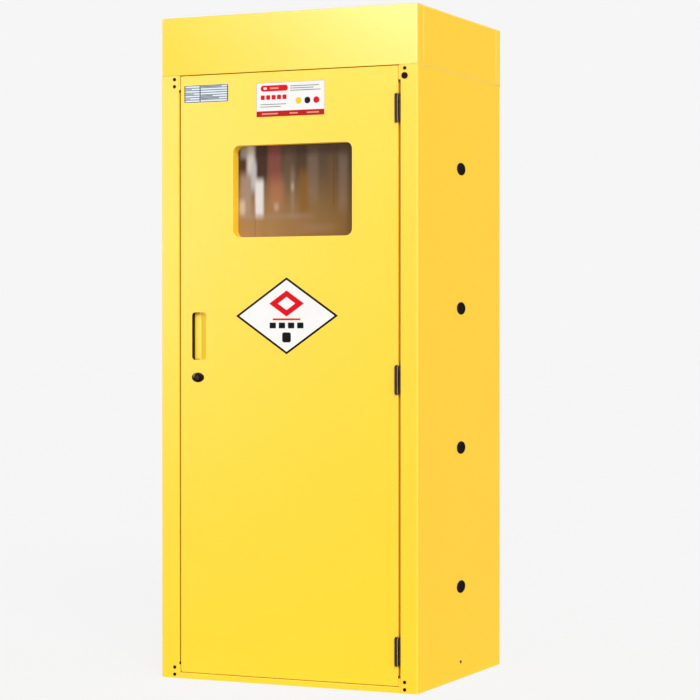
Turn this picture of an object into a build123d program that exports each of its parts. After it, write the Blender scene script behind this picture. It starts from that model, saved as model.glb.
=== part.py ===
from build123d import *
import os

os.makedirs("parts", exist_ok=True)

# A gas cylinder cabinet of double-walled sheet steel with one windowed door.
# x runs to the right, y to the back and z up. The origin is on the floor, under the middle.

# Overall size
width = 800
depth = 642
height = 1900
hood_height = 166
wall = 40

# Sheet steel
sheet = 1.5
liner_sheet = 1.2
bend = 3
overrun = 1

# Running clearances
clearance = 0.3
shaft_clearance = 0.05

# Door opening in the front of the body
left_stile_width = 57
right_stile_width = 53
bottom_rail_height = 17
side_stop_width = 18
top_stop_width = 46
bottom_stop_width = 28.5
back_flange = 20
seal_thickness = 3.7
seal_width = 10
seal_inset = 4

# Door
door_thickness = 40
left_gap = 5
right_gap = 6
top_gap = 2.2
bottom_gap = 1.5
door_corner_radius = 3
door_edge_radius = 2
inner_flange_length = 12
stiffener_web = 40
stiffener_flange = 18
stiffener_end_gap = 45
stiffener_above_sill = 410
stiffener_below_window = 108

# Window in the door
window_height = 261
window_radius = 20
window_from_left = 169
window_from_right = 139
window_from_top = 205
reveal_flange = 14
glass_thickness = 4
glass_lip = 12
gasket_wall = 1
gasket_bite = 8
retainer_width = 34
retainer_thickness = 1.5
retainer_screw_radius = 3.5
retainer_screw_height = 2
retainer_screw_chamfer = 0.5
retainer_screw_line = 24
retainer_screw_columns = 4
retainer_screw_rows = 3

# Pull recess in the door
pull_width = 46
pull_height = 137
pull_radius = 10
pull_depth = 15
pull_floor_width = 22.5
pull_from_left = 36.5
pull_centre_height = 985
pull_flange = 10
pull_undercut = 14

# Cam lock in the door
lock_from_left = 56
lock_below_pull = 49.5
escutcheon_width = 40
escutcheon_height = 28
escutcheon_thickness = 2.5
escutcheon_chamfer = 1
lock_head_radius = 11
lock_head_thickness = 2
lock_head_chamfer = 0.8
lock_body_radius = 9.8
lock_barrel_radius = 6.25
keyway_width = 1.6
keyway_height = 7
keyway_depth = 9
nut_across_flats = 24
nut_thickness = 4.5
cam_length = 46
cam_width = 16
cam_thickness = 3
cam_gap = 1.5
tenon_width = 8
cam_screw_head_radius = 5
cam_screw_head_height = 3
cam_screw_radius = 2.5
cam_screw_length = 12

# Hinges on the right-hand side of the door
hinge_height = 76
hinge_leaf_height = 81
hinge_radius = 5.5
hinge_pin_radius = 2.5
hinge_pin_head_radius = 3.8
hinge_pin_head_height = 1.2
hinge_axis_inset = 3
hinge_axis_lead = 3.5
hinge_end_knuckle = 16
hinge_leaf_thickness = 2
hinge_leaf_depth = 34
hinge_web_thickness = 2.5
hinge_notch_side = 6
hinge_notch_depth = 3.5
hinge_from_top = 116.8
hinge_from_bottom = 95.5
hinge_screw_radius = 2
hinge_screw_head_radius = 3.8
hinge_screw_length = 6
hinge_screw_spacing = 44
hinge_screw_from_front = 20

# Corner gussets and the screws in the front frame
gusset_thickness = 2
gusset_edge_inset = 12
left_ear = 3
right_ear = 5
relief_height = 7
relief_depth = 14
frame_screw_radius = 5
frame_screw_dome = 2
frame_screw_shank_radius = 2.4
frame_screw_from_left_jamb = 15
frame_screw_from_right_jamb = 14
frame_screw_edge = 10.5
frame_screw_pitch = 20.5
slotted_screw_radius = 9
slotted_screw_height = 3.5
slotted_screw_chamfer = 0.8
slot_width = 2.4
slot_depth = 1.5
slot_angle = 20

# Hood over the body
hood_sheet = 1
hood_seam = 0.6
hood_bend = 2.5
hood_return = 42
hood_lap = 15
hood_back_return = 36
hood_lid_flange = 15
roof_flange = 20
header_flange = 26

# Exhaust
duct_radius = 80
duct_collar_height = 40
duct_flange_width = 20
duct_flange_thickness = 2
duct_from_back = 211
grille_size = 200
grille_slot_length = 130
grille_slot_width = 6
grille_slots = 11
grille_slot_pitch = 13

# Plugged pipe ports in the side walls
port_width = 56
port_height = 30
port_from_front = 324
port_count = 4
port_first_height = 265
port_from_hood = 269
port_plug_width = 64
port_plug_height = 36
port_plug_lip = 1.6
port_plug_depth = 9
port_plug_wall = 2
port_plug_dish = 0.8
port_sleeve_wall = 1.5

# Earthing screw at the foot of the right-hand side
earth_screw_radius = 4.5
earth_screw_head = 2.5
earth_screw_shank_radius = 3
earth_screw_length = 12
earth_screw_above_floor = 49
earth_screw_from_front = 320

# Inside of the body
floor_height = 25
sump_rim = 30
base_flange = 22
floor_plate_rim = 9
channel_flange = 16
channel_web = 28
channel_end_gap = 60
side_channel_from_port = 128
back_channel_inset = 190

# Cylinder holders on the back wall
cylinder_radius = 118
cylinder_from_wall = 176
cradle_sheet = 2.5
cradle_side_gap = 35
cradle_lip = 25
cradle_rear_gap = 2
upper_cradle_height = 1000
lower_cradle_height = 320
rail_depth = 25
rail_height = 40
trim_wall = 2
trim_bite = 6
trim_end_gap = 6
cradle_bolt_radius = 3
cradle_bolt_head_radius = 6
cradle_bolt_head_height = 4
cradle_bolt_length = 10
cradle_bolt_count = 4
cradle_bolt_inset = 40

# Retaining bar in front of the cylinders
bar_height = 30
bar_thickness = 8
bar_from_cylinders = 17
bar_above_cradle = 25
bar_end_gap = 20
bar_pivot_gap = 34
bar_pin_radius = 6
bar_pin_head_radius = 10
bar_pin_head_thickness = 4
bracket_plate_thickness = 4
bracket_plate_width = 70
bracket_plate_height = 60
bracket_lug_thickness = 5
bracket_lug_radius = 15
catch_reach = 40
catch_wall = 3
catch_side_gap = 2
catch_lip_height = 18
knob_radius = 15
knob_stem_radius = 6
knob_stem_length = 16
knob_from_end = 75

# Outer faces and the door opening
side = width / 2
front = -depth / 2
back = depth / 2
hood_bottom = height - hood_height
panel_inner = side - sheet
back_panel_inner = back - sheet
opening_left = -side + left_stile_width
opening_right = side - right_stile_width
opening_width = opening_right - opening_left

# Door faces
door_left = opening_left + left_gap
door_right = opening_right - right_gap
door_bottom = bottom_rail_height + bottom_gap
door_top = hood_bottom - top_gap
door_width = door_right - door_left
door_height = door_top - door_bottom
door_x = (door_left + door_right) / 2
door_z = (door_bottom + door_top) / 2
door_back = front + door_thickness

# Stop flanges behind the door and the inner walls behind them
stop_face = door_back + clearance + seal_thickness
stop_back = stop_face + sheet
left_stop_end = door_left + side_stop_width
right_stop_end = door_right - side_stop_width
relief_top = door_top - top_stop_width
relief_bottom = door_bottom + bottom_stop_width
liner_front = stop_back + liner_sheet
liner_side = side - wall
liner_back = back - wall
liner_roof = hood_bottom - wall
liner_depth = liner_back - liner_front
liner_y = (liner_front + liner_back) / 2

# Window, pull and lock
window_width = door_width - window_from_left - window_from_right
window_x = door_left + window_from_left + window_width / 2
window_z = door_top - window_from_top - window_height / 2
gasket_back = door_back
gasket_front = gasket_back - glass_thickness - 2 * gasket_wall
glass_front = gasket_front + gasket_wall
pull_left = door_left + pull_from_left
pull_right = pull_left + pull_width
pull_x = (pull_left + pull_right) / 2
pull_bottom = pull_centre_height - pull_height / 2
lock_x = door_left + lock_from_left
lock_height = pull_bottom - lock_below_pull
lock_nose = front - escutcheon_thickness - lock_head_thickness
lock_hole_radius = lock_body_radius + clearance
cam_front = liner_front + cam_gap
cam_back = cam_front + cam_thickness
lock_body_end = cam_front - clearance

# Hinge axis
hinge_x = door_right - hinge_axis_inset
hinge_y = front - hinge_axis_lead
hinge_low_z = door_bottom + hinge_from_bottom
hinge_high_z = door_top - hinge_from_top
hinge_places = [hinge_low_z, (hinge_low_z + hinge_high_z) / 2, hinge_high_z]
hinge_leaf_back = front + hinge_leaf_depth
hinge_bore_radius = hinge_pin_radius + shaft_clearance
hinge_screw_y = front + hinge_screw_from_front

# Screws of the front frame
left_screw_x = opening_left - frame_screw_from_left_jamb
right_screw_x = opening_right + frame_screw_from_right_jamb
frame_screw_rows = [
    frame_screw_edge,
    frame_screw_edge + frame_screw_pitch,
    hood_bottom - frame_screw_edge - frame_screw_pitch,
    hood_bottom - frame_screw_edge,
]
slotted_screw_place = (right_screw_x, frame_screw_rows[2])
frame_screw_places = [(x, z) for x in (left_screw_x, right_screw_x) for z in frame_screw_rows]

# Ports, duct, cylinder holders and retaining bar
port_y = front + port_from_front
port_spacing = (hood_bottom - port_from_hood - port_first_height) / (port_count - 1)
port_places = [port_first_height + port_spacing * n for n in range(port_count)]
earth_screw_y = front + earth_screw_from_front
duct_y = back - duct_from_back
rail_front = liner_back - rail_depth
cylinder_y = liner_back - cylinder_from_wall
cradle_half_width = liner_side - cradle_side_gap
cylinder_places = [-cradle_half_width / 2, cradle_half_width / 2]
cradle_heights = [lower_cradle_height, upper_cradle_height]
bar_y = cylinder_y - cylinder_radius - bar_from_cylinders
bar_z = upper_cradle_height + bar_above_cradle
bar_pivot_x = -liner_side + bar_pivot_gap
bar_end_x = liner_side - bar_end_gap


def save(piece, name):
    piece.part.label = name
    export_step(piece.part, f"parts/{name}.step")


# One countersunk hinge screw along +x with its head at the origin, drawn with room round it for its hole
def hinge_screw(room):
    with BuildPart() as screw:
        with BuildSketch():
            with BuildLine():
                Polyline(
                    (0, 0),
                    (0, hinge_screw_head_radius + room),
                    (hinge_screw_head_radius - hinge_screw_radius, hinge_screw_radius + room),
                    (hinge_screw_length, hinge_screw_radius + room),
                    (hinge_screw_length, 0),
                    close=True,
                )
            make_face()
        revolve(axis=Axis.X)
    return screw.part


# The door leaves lie on the edge of the door, the frame leaves on the jamb
door_leaf_face = door_right + hinge_leaf_thickness
frame_leaf_face = opening_right - hinge_leaf_thickness
hinge_screw_rows = [z + step * hinge_screw_spacing / 2 for z in hinge_places for step in (-1, 1)]
frame_hinge_screw_locations = [Location((frame_leaf_face, hinge_screw_y, z)) for z in hinge_screw_rows]
door_hinge_screw_locations = [
    Location((door_leaf_face, hinge_screw_y, z), (0, 0, 180)) for z in hinge_screw_rows
]


# Outer side wall, folded round at the front into the stile, the jamb and the stop flange
def side_panel(hand, stile_width, stop_end, screw_x):
    skin = hand * (side - sheet / 2)
    jamb = hand * (side - stile_width + sheet / 2)
    flange_y = back_panel_inner - sheet / 2
    relief_side = jamb + hand * (bend + sheet / 2)
    with BuildPart() as panel:
        with BuildSketch():
            with BuildLine():
                FilletPolyline(
                    (skin - hand * back_flange, flange_y),
                    (skin, flange_y),
                    (skin, front + sheet / 2),
                    (jamb, front + sheet / 2),
                    (jamb, stop_face + sheet / 2),
                    (stop_end, stop_face + sheet / 2),
                    radius=bend,
                )
            trace(line_width=sheet)
        extrude(amount=hood_bottom)
        # Jamb and stop flange end at a relief near the top and bottom corners
        with BuildSketch(Plane.XZ.offset(-front - sheet)):
            for low, high in ((0, relief_bottom), (relief_top, hood_bottom)):
                with Locations(((relief_side + stop_end) / 2, (low + high) / 2)):
                    Rectangle(abs(relief_side - stop_end), high - low)
        extrude(amount=front - stop_back, mode=Mode.SUBTRACT)
        with BuildSketch(Plane.YZ.offset(hand * side)):
            for z in port_places:
                with Locations((port_y, z)):
                    Ellipse(port_width / 2, port_height / 2)
            if hand > 0:
                with Locations((earth_screw_y, earth_screw_above_floor)):
                    Circle(earth_screw_shank_radius + shaft_clearance)
        extrude(amount=-hand * (sheet + overrun), mode=Mode.SUBTRACT)
        with BuildSketch(Plane.XZ.offset(-front)):
            for z in frame_screw_rows:
                with Locations((screw_x, z)):
                    Circle(frame_screw_shank_radius + shaft_clearance)
        extrude(amount=-sheet, mode=Mode.SUBTRACT)
        if hand > 0:
            with Locations(*frame_hinge_screw_locations):
                add(hinge_screw(shaft_clearance), mode=Mode.SUBTRACT)
    return panel


left_side_panel = side_panel(-1, left_stile_width, left_stop_end, left_screw_x)
right_side_panel = side_panel(1, right_stile_width, right_stop_end, right_screw_x)
save(left_side_panel, "left_side_panel")
save(right_side_panel, "right_side_panel")

# Outer back wall
with BuildPart() as back_panel:
    with BuildSketch():
        with Locations((0, back - sheet / 2)):
            Rectangle(width, sheet)
    extrude(amount=hood_bottom)
save(back_panel, "back_panel")

# Base that the cabinet stands on, with a flange up each side
base_half = panel_inner - sheet / 2
with BuildPart() as base_pan:
    with BuildSketch(Plane.XZ.offset(-stop_back)):
        with BuildLine():
            FilletPolyline(
                (-base_half, base_flange),
                (-base_half, sheet / 2),
                (base_half, sheet / 2),
                (base_half, base_flange),
                radius=bend,
            )
        trace(line_width=sheet)
    extrude(amount=stop_back - back_panel_inner + sheet + bend)
    with BuildSketch():
        with Locations((0, (front + sheet + stop_back) / 2)):
            Rectangle(2 * (panel_inner - bend), stop_back - front - sheet)
    extrude(amount=sheet)
save(base_pan, "base_pan")

# Sill under the door, folded back and up into the lower stop flange
with BuildPart() as bottom_rail:
    with BuildSketch(Plane.YZ.offset(opening_left)):
        with BuildLine():
            FilletPolyline(
                (front + sheet / 2, 0),
                (front + sheet / 2, bottom_rail_height - sheet / 2),
                (stop_face + sheet / 2, bottom_rail_height - sheet / 2),
                (stop_face + sheet / 2, relief_bottom),
                radius=bend,
            )
        trace(line_width=sheet)
    extrude(amount=opening_width)
save(bottom_rail, "bottom_rail")

# Header behind the foot of the hood, folded back and down into the upper stop flange
header_y = front + hood_sheet + sheet / 2
with BuildPart() as top_rail:
    with BuildSketch(Plane.YZ.offset(opening_left)):
        with BuildLine():
            FilletPolyline(
                (header_y, hood_bottom + header_flange),
                (header_y, hood_bottom + sheet / 2),
                (stop_face + sheet / 2, hood_bottom + sheet / 2),
                (stop_face + sheet / 2, relief_top),
                radius=bend,
            )
        trace(line_width=sheet)
    extrude(amount=opening_width)
save(top_rail, "top_rail")

# Roof of the body, which is the floor of the hood
roof_half = side - 2 * hood_sheet - sheet / 2
with BuildPart() as roof_panel:
    with BuildSketch(Plane.XZ.offset(-stop_back)):
        with BuildLine():
            FilletPolyline(
                (-roof_half, hood_bottom + roof_flange),
                (-roof_half, hood_bottom + sheet / 2),
                (roof_half, hood_bottom + sheet / 2),
                (roof_half, hood_bottom + roof_flange),
                radius=bend,
            )
        trace(line_width=sheet)
    extrude(amount=stop_back - back + hood_sheet)
    with BuildSketch(Plane.XY.offset(hood_bottom)):
        with Locations((0, duct_y)):
            Circle(duct_radius + clearance)
    extrude(amount=sheet, mode=Mode.SUBTRACT)
save(roof_panel, "roof_panel")


# Inner side wall, with a front flange that lies behind the stop flange
def side_liner(hand, stop_end):
    face = hand * (liner_side + liner_sheet / 2)
    with BuildPart() as liner:
        with BuildSketch(Plane.XY.offset(sheet)):
            with BuildLine():
                FilletPolyline(
                    (stop_end, liner_front - liner_sheet / 2),
                    (face, liner_front - liner_sheet / 2),
                    (face, liner_back),
                    radius=bend,
                )
            trace(line_width=liner_sheet)
        extrude(amount=liner_roof - sheet)
        with BuildSketch(Plane.YZ.offset(hand * liner_side)):
            for z in port_places:
                with Locations((port_y, z)):
                    Ellipse(port_width / 2, port_height / 2)
        extrude(amount=hand * (liner_sheet + overrun), mode=Mode.SUBTRACT)
    return liner


left_liner = side_liner(-1, left_stop_end)
right_liner = side_liner(1, right_stop_end)
save(left_liner, "left_liner")
save(right_liner, "right_liner")

# Inner back wall
with BuildPart() as back_liner:
    with BuildSketch(Plane.XY.offset(sheet)):
        with Locations((0, liner_back + liner_sheet / 2)):
            Rectangle(2 * (liner_side + liner_sheet), liner_sheet)
    extrude(amount=liner_roof - sheet)
save(back_liner, "back_liner")

# Inner ceiling, with a front flange that lies behind the header
with BuildPart() as roof_liner:
    with BuildSketch(Plane.YZ.offset(-liner_side - liner_sheet)):
        with BuildLine():
            FilletPolyline(
                (liner_front - liner_sheet / 2, hood_bottom - sheet),
                (liner_front - liner_sheet / 2, liner_roof + liner_sheet / 2),
                (liner_back + liner_sheet, liner_roof + liner_sheet / 2),
                radius=bend,
            )
        trace(line_width=liner_sheet)
    extrude(amount=2 * (liner_side + liner_sheet))
    with BuildSketch(Plane.XY.offset(liner_roof)):
        with Locations((0, duct_y)):
            Circle(duct_radius + clearance)
    extrude(amount=liner_sheet, mode=Mode.SUBTRACT)
save(roof_liner, "roof_liner")

# Leak-tight inner floor with a raised rim
with BuildPart() as sump_pan:
    with BuildSketch(Plane.XY.offset(floor_height - liner_sheet)):
        with Locations((0, liner_y)):
            RectangleRounded(2 * liner_side, liner_depth, bend)
    extrude(amount=sump_rim)
    with BuildSketch(Plane.XY.offset(floor_height)):
        with Locations((0, liner_y)):
            RectangleRounded(
                2 * (liner_side - liner_sheet), liner_depth - 2 * liner_sheet, bend - liner_sheet
            )
    extrude(amount=sump_rim, mode=Mode.SUBTRACT)
save(sump_pan, "sump_pan")

# Drop-in plate that the cylinders are rolled on to, level with the sill
plate_half = liner_side - liner_sheet - floor_plate_rim
with BuildPart() as floor_plate:
    with BuildSketch(Plane.XZ.offset(-liner_front - floor_plate_rim)):
        with BuildLine():
            FilletPolyline(
                (-plate_half, floor_height),
                (-plate_half, relief_bottom - sheet / 2),
                (plate_half, relief_bottom - sheet / 2),
                (plate_half, floor_height),
                radius=bend,
            )
        trace(line_width=sheet)
    extrude(amount=2 * floor_plate_rim - liner_depth)
save(floor_plate, "floor_plate")


# Middle line of a hat section that stands on base and reaches to crown, both across the wall
def hat_line(base, crown, middle, web, flange):
    lean = sheet / 2 if crown > base else -sheet / 2
    return [
        (base + lean, middle - web / 2 - flange),
        (base + lean, middle - web / 2),
        (crown - lean, middle - web / 2),
        (crown - lean, middle + web / 2),
        (base + lean, middle + web / 2),
        (base + lean, middle + web / 2 + flange),
    ]


# Spacer channels between the outer and the inner walls
with BuildPart() as side_wall_channels:
    with BuildSketch(Plane.XY.offset(channel_end_gap)):
        for hand in (-1, 1):
            base = hand * panel_inner
            crown = hand * (liner_side + liner_sheet)
            for y in (port_y - side_channel_from_port, port_y + side_channel_from_port):
                with BuildLine():
                    FilletPolyline(*hat_line(base, crown, y, channel_web, channel_flange), radius=bend)
                trace(line_width=sheet)
    extrude(amount=liner_roof - 2 * channel_end_gap)
save(side_wall_channels, "side_wall_channels")

with BuildPart() as back_wall_channels:
    with BuildSketch(Plane.XY.offset(channel_end_gap)):
        for hand in (-1, 1):
            middle = hand * back_channel_inset
            crown = liner_back + liner_sheet
            section = hat_line(back_panel_inner, crown, middle, channel_web, channel_flange)
            with BuildLine():
                FilletPolyline(*[(x, y) for y, x in section], radius=bend)
            trace(line_width=sheet)
    extrude(amount=liner_roof - 2 * channel_end_gap)
save(back_wall_channels, "back_wall_channels")

# Corner gussets behind the stiles, each with an ear that closes the gap beside the door
with BuildPart() as corner_gussets:
    for hand, edge, ear in ((-1, -opening_left, left_ear), (1, opening_right, right_ear)):
        outer = side - gusset_edge_inset
        for low, high, ear_low in (
            (sheet, relief_bottom - relief_height, bottom_rail_height + clearance),
            (relief_top + relief_height, hood_bottom, relief_top + relief_height),
        ):
            with BuildSketch(Plane.XZ.offset(-front - sheet)):
                with Locations((hand * (outer + edge) / 2, (low + high) / 2)):
                    Rectangle(outer - edge, high - low)
                with Locations((hand * (edge - ear / 2), (ear_low + high) / 2)):
                    Rectangle(ear, high - ear_low)
                for x, z in frame_screw_places:
                    with Locations((x, z)):
                        Circle(frame_screw_shank_radius + shaft_clearance, mode=Mode.SUBTRACT)
            extrude(amount=-gusset_thickness)
save(corner_gussets, "corner_gussets")

# One domed screw, its head towards -y, and the copies in the corners of the front frame
with BuildPart() as frame_screw:
    with BuildSketch():
        with BuildLine():
            TangentArc((0, -frame_screw_dome), (frame_screw_radius, 0), tangent=(1, 0))
            Polyline(
                (frame_screw_radius, 0),
                (frame_screw_shank_radius, 0),
                (frame_screw_shank_radius, sheet + gusset_thickness + frame_screw_dome),
                (0, sheet + gusset_thickness + frame_screw_dome),
                (0, -frame_screw_dome),
            )
        make_face()
    revolve(axis=Axis.Y)

with BuildPart() as frame_screws:
    with Locations(*[(x, front, z) for x, z in frame_screw_places if (x, z) != slotted_screw_place]):
        add(frame_screw.part)
save(frame_screws, "frame_screws")

# Broad slotted screw in the upper right-hand corner
slotted_x, slotted_z = slotted_screw_place
with BuildPart() as slotted_screw:
    with BuildSketch(Plane.XZ.offset(-front)):
        with Locations((slotted_x, slotted_z)):
            Circle(slotted_screw_radius)
    extrude(amount=slotted_screw_height)
    chamfer(slotted_screw.faces().sort_by(Axis.Y)[0].edges(), slotted_screw_chamfer)
    with BuildSketch(Plane.XZ.offset(-front + slotted_screw_height)):
        with Locations(Location((slotted_x, slotted_z), slot_angle)):
            Rectangle(2 * slotted_screw_radius, slot_width)
    extrude(amount=-slot_depth, mode=Mode.SUBTRACT)
    with BuildSketch(Plane.XZ.offset(-front)):
        with Locations((slotted_x, slotted_z)):
            Circle(frame_screw_shank_radius)
    extrude(amount=-(sheet + gusset_thickness + frame_screw_dome))
save(slotted_screw, "slotted_screw")

# Rubber seal on the stop flanges
with BuildPart() as door_seal:
    with BuildSketch(Plane.XZ.offset(-stop_face)):
        with Locations((door_x, door_z)):
            Rectangle(door_width - 2 * seal_inset, door_height - 2 * seal_inset)
            Rectangle(
                door_width - 2 * (seal_inset + seal_width),
                door_height - 2 * (seal_inset + seal_width),
                mode=Mode.SUBTRACT,
            )
    extrude(amount=seal_thickness)
save(door_seal, "door_seal")

# Front of the hood, wrapped round both corners
hood_foot = hood_bottom + hood_seam
hood_wall_height = height - hood_sheet - hood_foot
hood_return_x = side - 3 * hood_sheet / 2
with BuildPart() as hood_front:
    with BuildSketch(Plane.XY.offset(hood_foot)):
        with BuildLine():
            FilletPolyline(
                (-hood_return_x, front + hood_return + hood_lap),
                (-hood_return_x, front + hood_sheet / 2),
                (hood_return_x, front + hood_sheet / 2),
                (hood_return_x, front + hood_return + hood_lap),
                radius=hood_bend,
            )
        trace(line_width=hood_sheet)
    extrude(amount=hood_wall_height)
save(hood_front, "hood_front")


# Side of the hood, lapped over the return of the front
def hood_side(hand):
    with BuildPart() as plate:
        with BuildSketch(Plane.XY.offset(hood_foot)):
            with Locations((hand * (side - hood_sheet / 2), front + hood_return)):
                Rectangle(
                    hood_sheet,
                    depth - hood_return - hood_sheet - hood_bend,
                    align=(Align.CENTER, Align.MIN),
                )
        extrude(amount=hood_wall_height)
    return plate


hood_left = hood_side(-1)
hood_right = hood_side(1)
save(hood_left, "hood_left")
save(hood_right, "hood_right")

# Back of the hood, lapped over both sides
hood_back_x = side + hood_sheet / 2
with BuildPart() as hood_back:
    with BuildSketch(Plane.XY.offset(hood_foot)):
        with BuildLine():
            FilletPolyline(
                (-hood_back_x, back - hood_back_return),
                (-hood_back_x, back - hood_sheet / 2),
                (hood_back_x, back - hood_sheet / 2),
                (hood_back_x, back - hood_back_return),
                radius=hood_bend,
            )
        trace(line_width=hood_sheet)
    extrude(amount=hood_wall_height)
save(hood_back, "hood_back")

# Lid of the hood, with a rim inside the walls
lid_half = side - 2 * hood_sheet
with BuildPart() as hood_lid:
    with BuildSketch(Plane.XY.offset(height - hood_sheet)):
        Rectangle(width, depth)
    extrude(amount=hood_sheet)
    with BuildSketch(Plane.XY.offset(height - hood_sheet)):
        RectangleRounded(2 * lid_half, depth - 2 * hood_sheet, hood_bend)
        RectangleRounded(
            2 * (lid_half - hood_sheet),
            depth - 4 * hood_sheet,
            hood_bend - hood_sheet,
            mode=Mode.SUBTRACT,
        )
    extrude(amount=-hood_lid_flange)
    with BuildSketch(Plane.XY.offset(height)):
        with Locations((0, duct_y)):
            Circle(duct_radius + clearance)
    extrude(amount=-hood_sheet, mode=Mode.SUBTRACT)
save(hood_lid, "hood_lid")

# Exhaust duct from the inner ceiling through the hood, with a collar flange on the lid
with BuildPart() as exhaust_duct:
    with BuildSketch(Plane.XY.offset(liner_roof)):
        with Locations((0, duct_y)):
            Circle(duct_radius)
    extrude(amount=height + duct_collar_height - liner_roof)
    with BuildSketch(Plane.XY.offset(height)):
        with Locations((0, duct_y)):
            Circle(duct_radius + duct_flange_width)
    extrude(amount=duct_flange_thickness)
    with BuildSketch(Plane.XY.offset(liner_roof)):
        with Locations((0, duct_y)):
            Circle(duct_radius - sheet)
    extrude(amount=height + duct_collar_height - liner_roof, mode=Mode.SUBTRACT)
save(exhaust_duct, "exhaust_duct")

# Slotted grille under the duct
with BuildPart() as vent_grille:
    with BuildSketch(Plane.XY.offset(liner_roof)):
        with Locations((0, duct_y)):
            RectangleRounded(grille_size, grille_size, bend)
            with GridLocations(0, grille_slot_pitch, 1, grille_slots):
                SlotOverall(grille_slot_length, grille_slot_width, mode=Mode.SUBTRACT)
    extrude(amount=-liner_sheet)
save(vent_grille, "vent_grille")

# Pipe ports: an oval sleeve through each side wall, closed outside by a plug
with BuildPart() as port_sleeves:
    for hand in (-1, 1):
        with BuildSketch(Plane.YZ.offset(hand * panel_inner)):
            for z in port_places:
                with Locations((port_y, z)):
                    Ellipse(
                        port_width / 2 + clearance + port_sleeve_wall,
                        port_height / 2 + clearance + port_sleeve_wall,
                    )
                    Ellipse(port_width / 2 + clearance, port_height / 2 + clearance, mode=Mode.SUBTRACT)
        extrude(amount=-hand * (panel_inner - liner_side - liner_sheet))
save(port_sleeves, "port_sleeves")

with BuildPart() as port_plugs:
    for hand in (-1, 1):
        with BuildSketch(Plane.YZ.offset(hand * side)):
            for z in port_places:
                with Locations((port_y, z)):
                    Ellipse(port_plug_width / 2, port_plug_height / 2)
        extrude(amount=hand * port_plug_lip)
        with BuildSketch(Plane.YZ.offset(hand * (side + port_plug_lip))):
            for z in port_places:
                with Locations((port_y, z)):
                    Ellipse(port_width / 2 - port_plug_wall, port_height / 2 - port_plug_wall)
        extrude(amount=-hand * port_plug_dish, mode=Mode.SUBTRACT)
        with BuildSketch(Plane.YZ.offset(hand * side)):
            for z in port_places:
                with Locations((port_y, z)):
                    Ellipse(port_width / 2 - shaft_clearance, port_height / 2 - shaft_clearance)
                    Ellipse(
                        port_width / 2 - port_plug_wall,
                        port_height / 2 - port_plug_wall,
                        mode=Mode.SUBTRACT,
                    )
        extrude(amount=-hand * port_plug_depth)
save(port_plugs, "port_plugs")

# Earthing screw
with BuildPart() as earth_screw:
    with BuildSketch(Plane.YZ.offset(side)):
        with Locations((earth_screw_y, earth_screw_above_floor)):
            Circle(earth_screw_radius)
    extrude(amount=earth_screw_head)
    with BuildSketch(Plane.YZ.offset(side)):
        with Locations((earth_screw_y, earth_screw_above_floor)):
            Circle(earth_screw_shank_radius)
    extrude(amount=-earth_screw_length)
save(earth_screw, "earth_screw")

# Hinge leaves with their knuckles: two on the frame, one on the door
with BuildPart() as hinge_frame_leaves:
    for z in hinge_places:
        with BuildSketch(Plane.XY.offset(z - hinge_leaf_height / 2)):
            with Locations((frame_leaf_face, front - hinge_web_thickness)):
                Rectangle(
                    hinge_leaf_thickness,
                    hinge_leaf_depth + hinge_web_thickness,
                    align=(Align.MIN, Align.MIN),
                )
        extrude(amount=hinge_leaf_height)
        for low in (z - hinge_height / 2, z + hinge_height / 2 - hinge_end_knuckle):
            with BuildSketch(Plane.XY.offset(low)):
                with Locations((hinge_x, front - hinge_web_thickness)):
                    Rectangle(opening_right - hinge_x, hinge_web_thickness, align=(Align.MIN, Align.MIN))
                with Locations((hinge_x, hinge_y)):
                    Circle(hinge_radius)
                    Circle(hinge_bore_radius, mode=Mode.SUBTRACT)
            extrude(amount=hinge_end_knuckle)
    with Locations(*frame_hinge_screw_locations):
        add(hinge_screw(shaft_clearance), mode=Mode.SUBTRACT)
save(hinge_frame_leaves, "hinge_frame_leaves")

with BuildPart() as hinge_door_leaves:
    for z in hinge_places:
        with BuildSketch(Plane.XY.offset(z - hinge_leaf_height / 2)):
            with Locations((door_right, front + hinge_notch_depth)):
                Rectangle(
                    hinge_leaf_thickness,
                    hinge_leaf_depth - hinge_notch_depth,
                    align=(Align.MIN, Align.MIN),
                )
        extrude(amount=hinge_leaf_height)
        with BuildSketch(Plane.XY.offset(z - hinge_height / 2 + hinge_end_knuckle + clearance)):
            with Locations((door_right, hinge_y)):
                Rectangle(hinge_leaf_thickness, hinge_leaf_back - hinge_y, align=(Align.MIN, Align.MIN))
            with Locations((hinge_x, hinge_y)):
                Circle(hinge_radius)
                Circle(hinge_bore_radius, mode=Mode.SUBTRACT)
        extrude(amount=hinge_height - 2 * (hinge_end_knuckle + clearance))
    with Locations(*door_hinge_screw_locations):
        add(hinge_screw(shaft_clearance), mode=Mode.SUBTRACT)
save(hinge_door_leaves, "hinge_door_leaves")

with BuildPart() as hinge_pins:
    for z in hinge_places:
        with BuildSketch(Plane.XY.offset(z - hinge_height / 2)):
            with Locations((hinge_x, hinge_y)):
                Circle(hinge_pin_radius)
        extrude(amount=hinge_height)
        for end, up in ((z - hinge_height / 2, -1), (z + hinge_height / 2, 1)):
            with BuildSketch(Plane.XY.offset(end)):
                with Locations((hinge_x, hinge_y)):
                    Circle(hinge_pin_head_radius)
            extrude(amount=up * hinge_pin_head_height)
save(hinge_pins, "hinge_pins")

with BuildPart() as hinge_frame_screws:
    with Locations(*frame_hinge_screw_locations):
        add(hinge_screw(0))
save(hinge_frame_screws, "hinge_frame_screws")

with BuildPart() as hinge_door_screws:
    with Locations(*door_hinge_screw_locations):
        add(hinge_screw(0))
save(hinge_door_screws, "hinge_door_screws")


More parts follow.
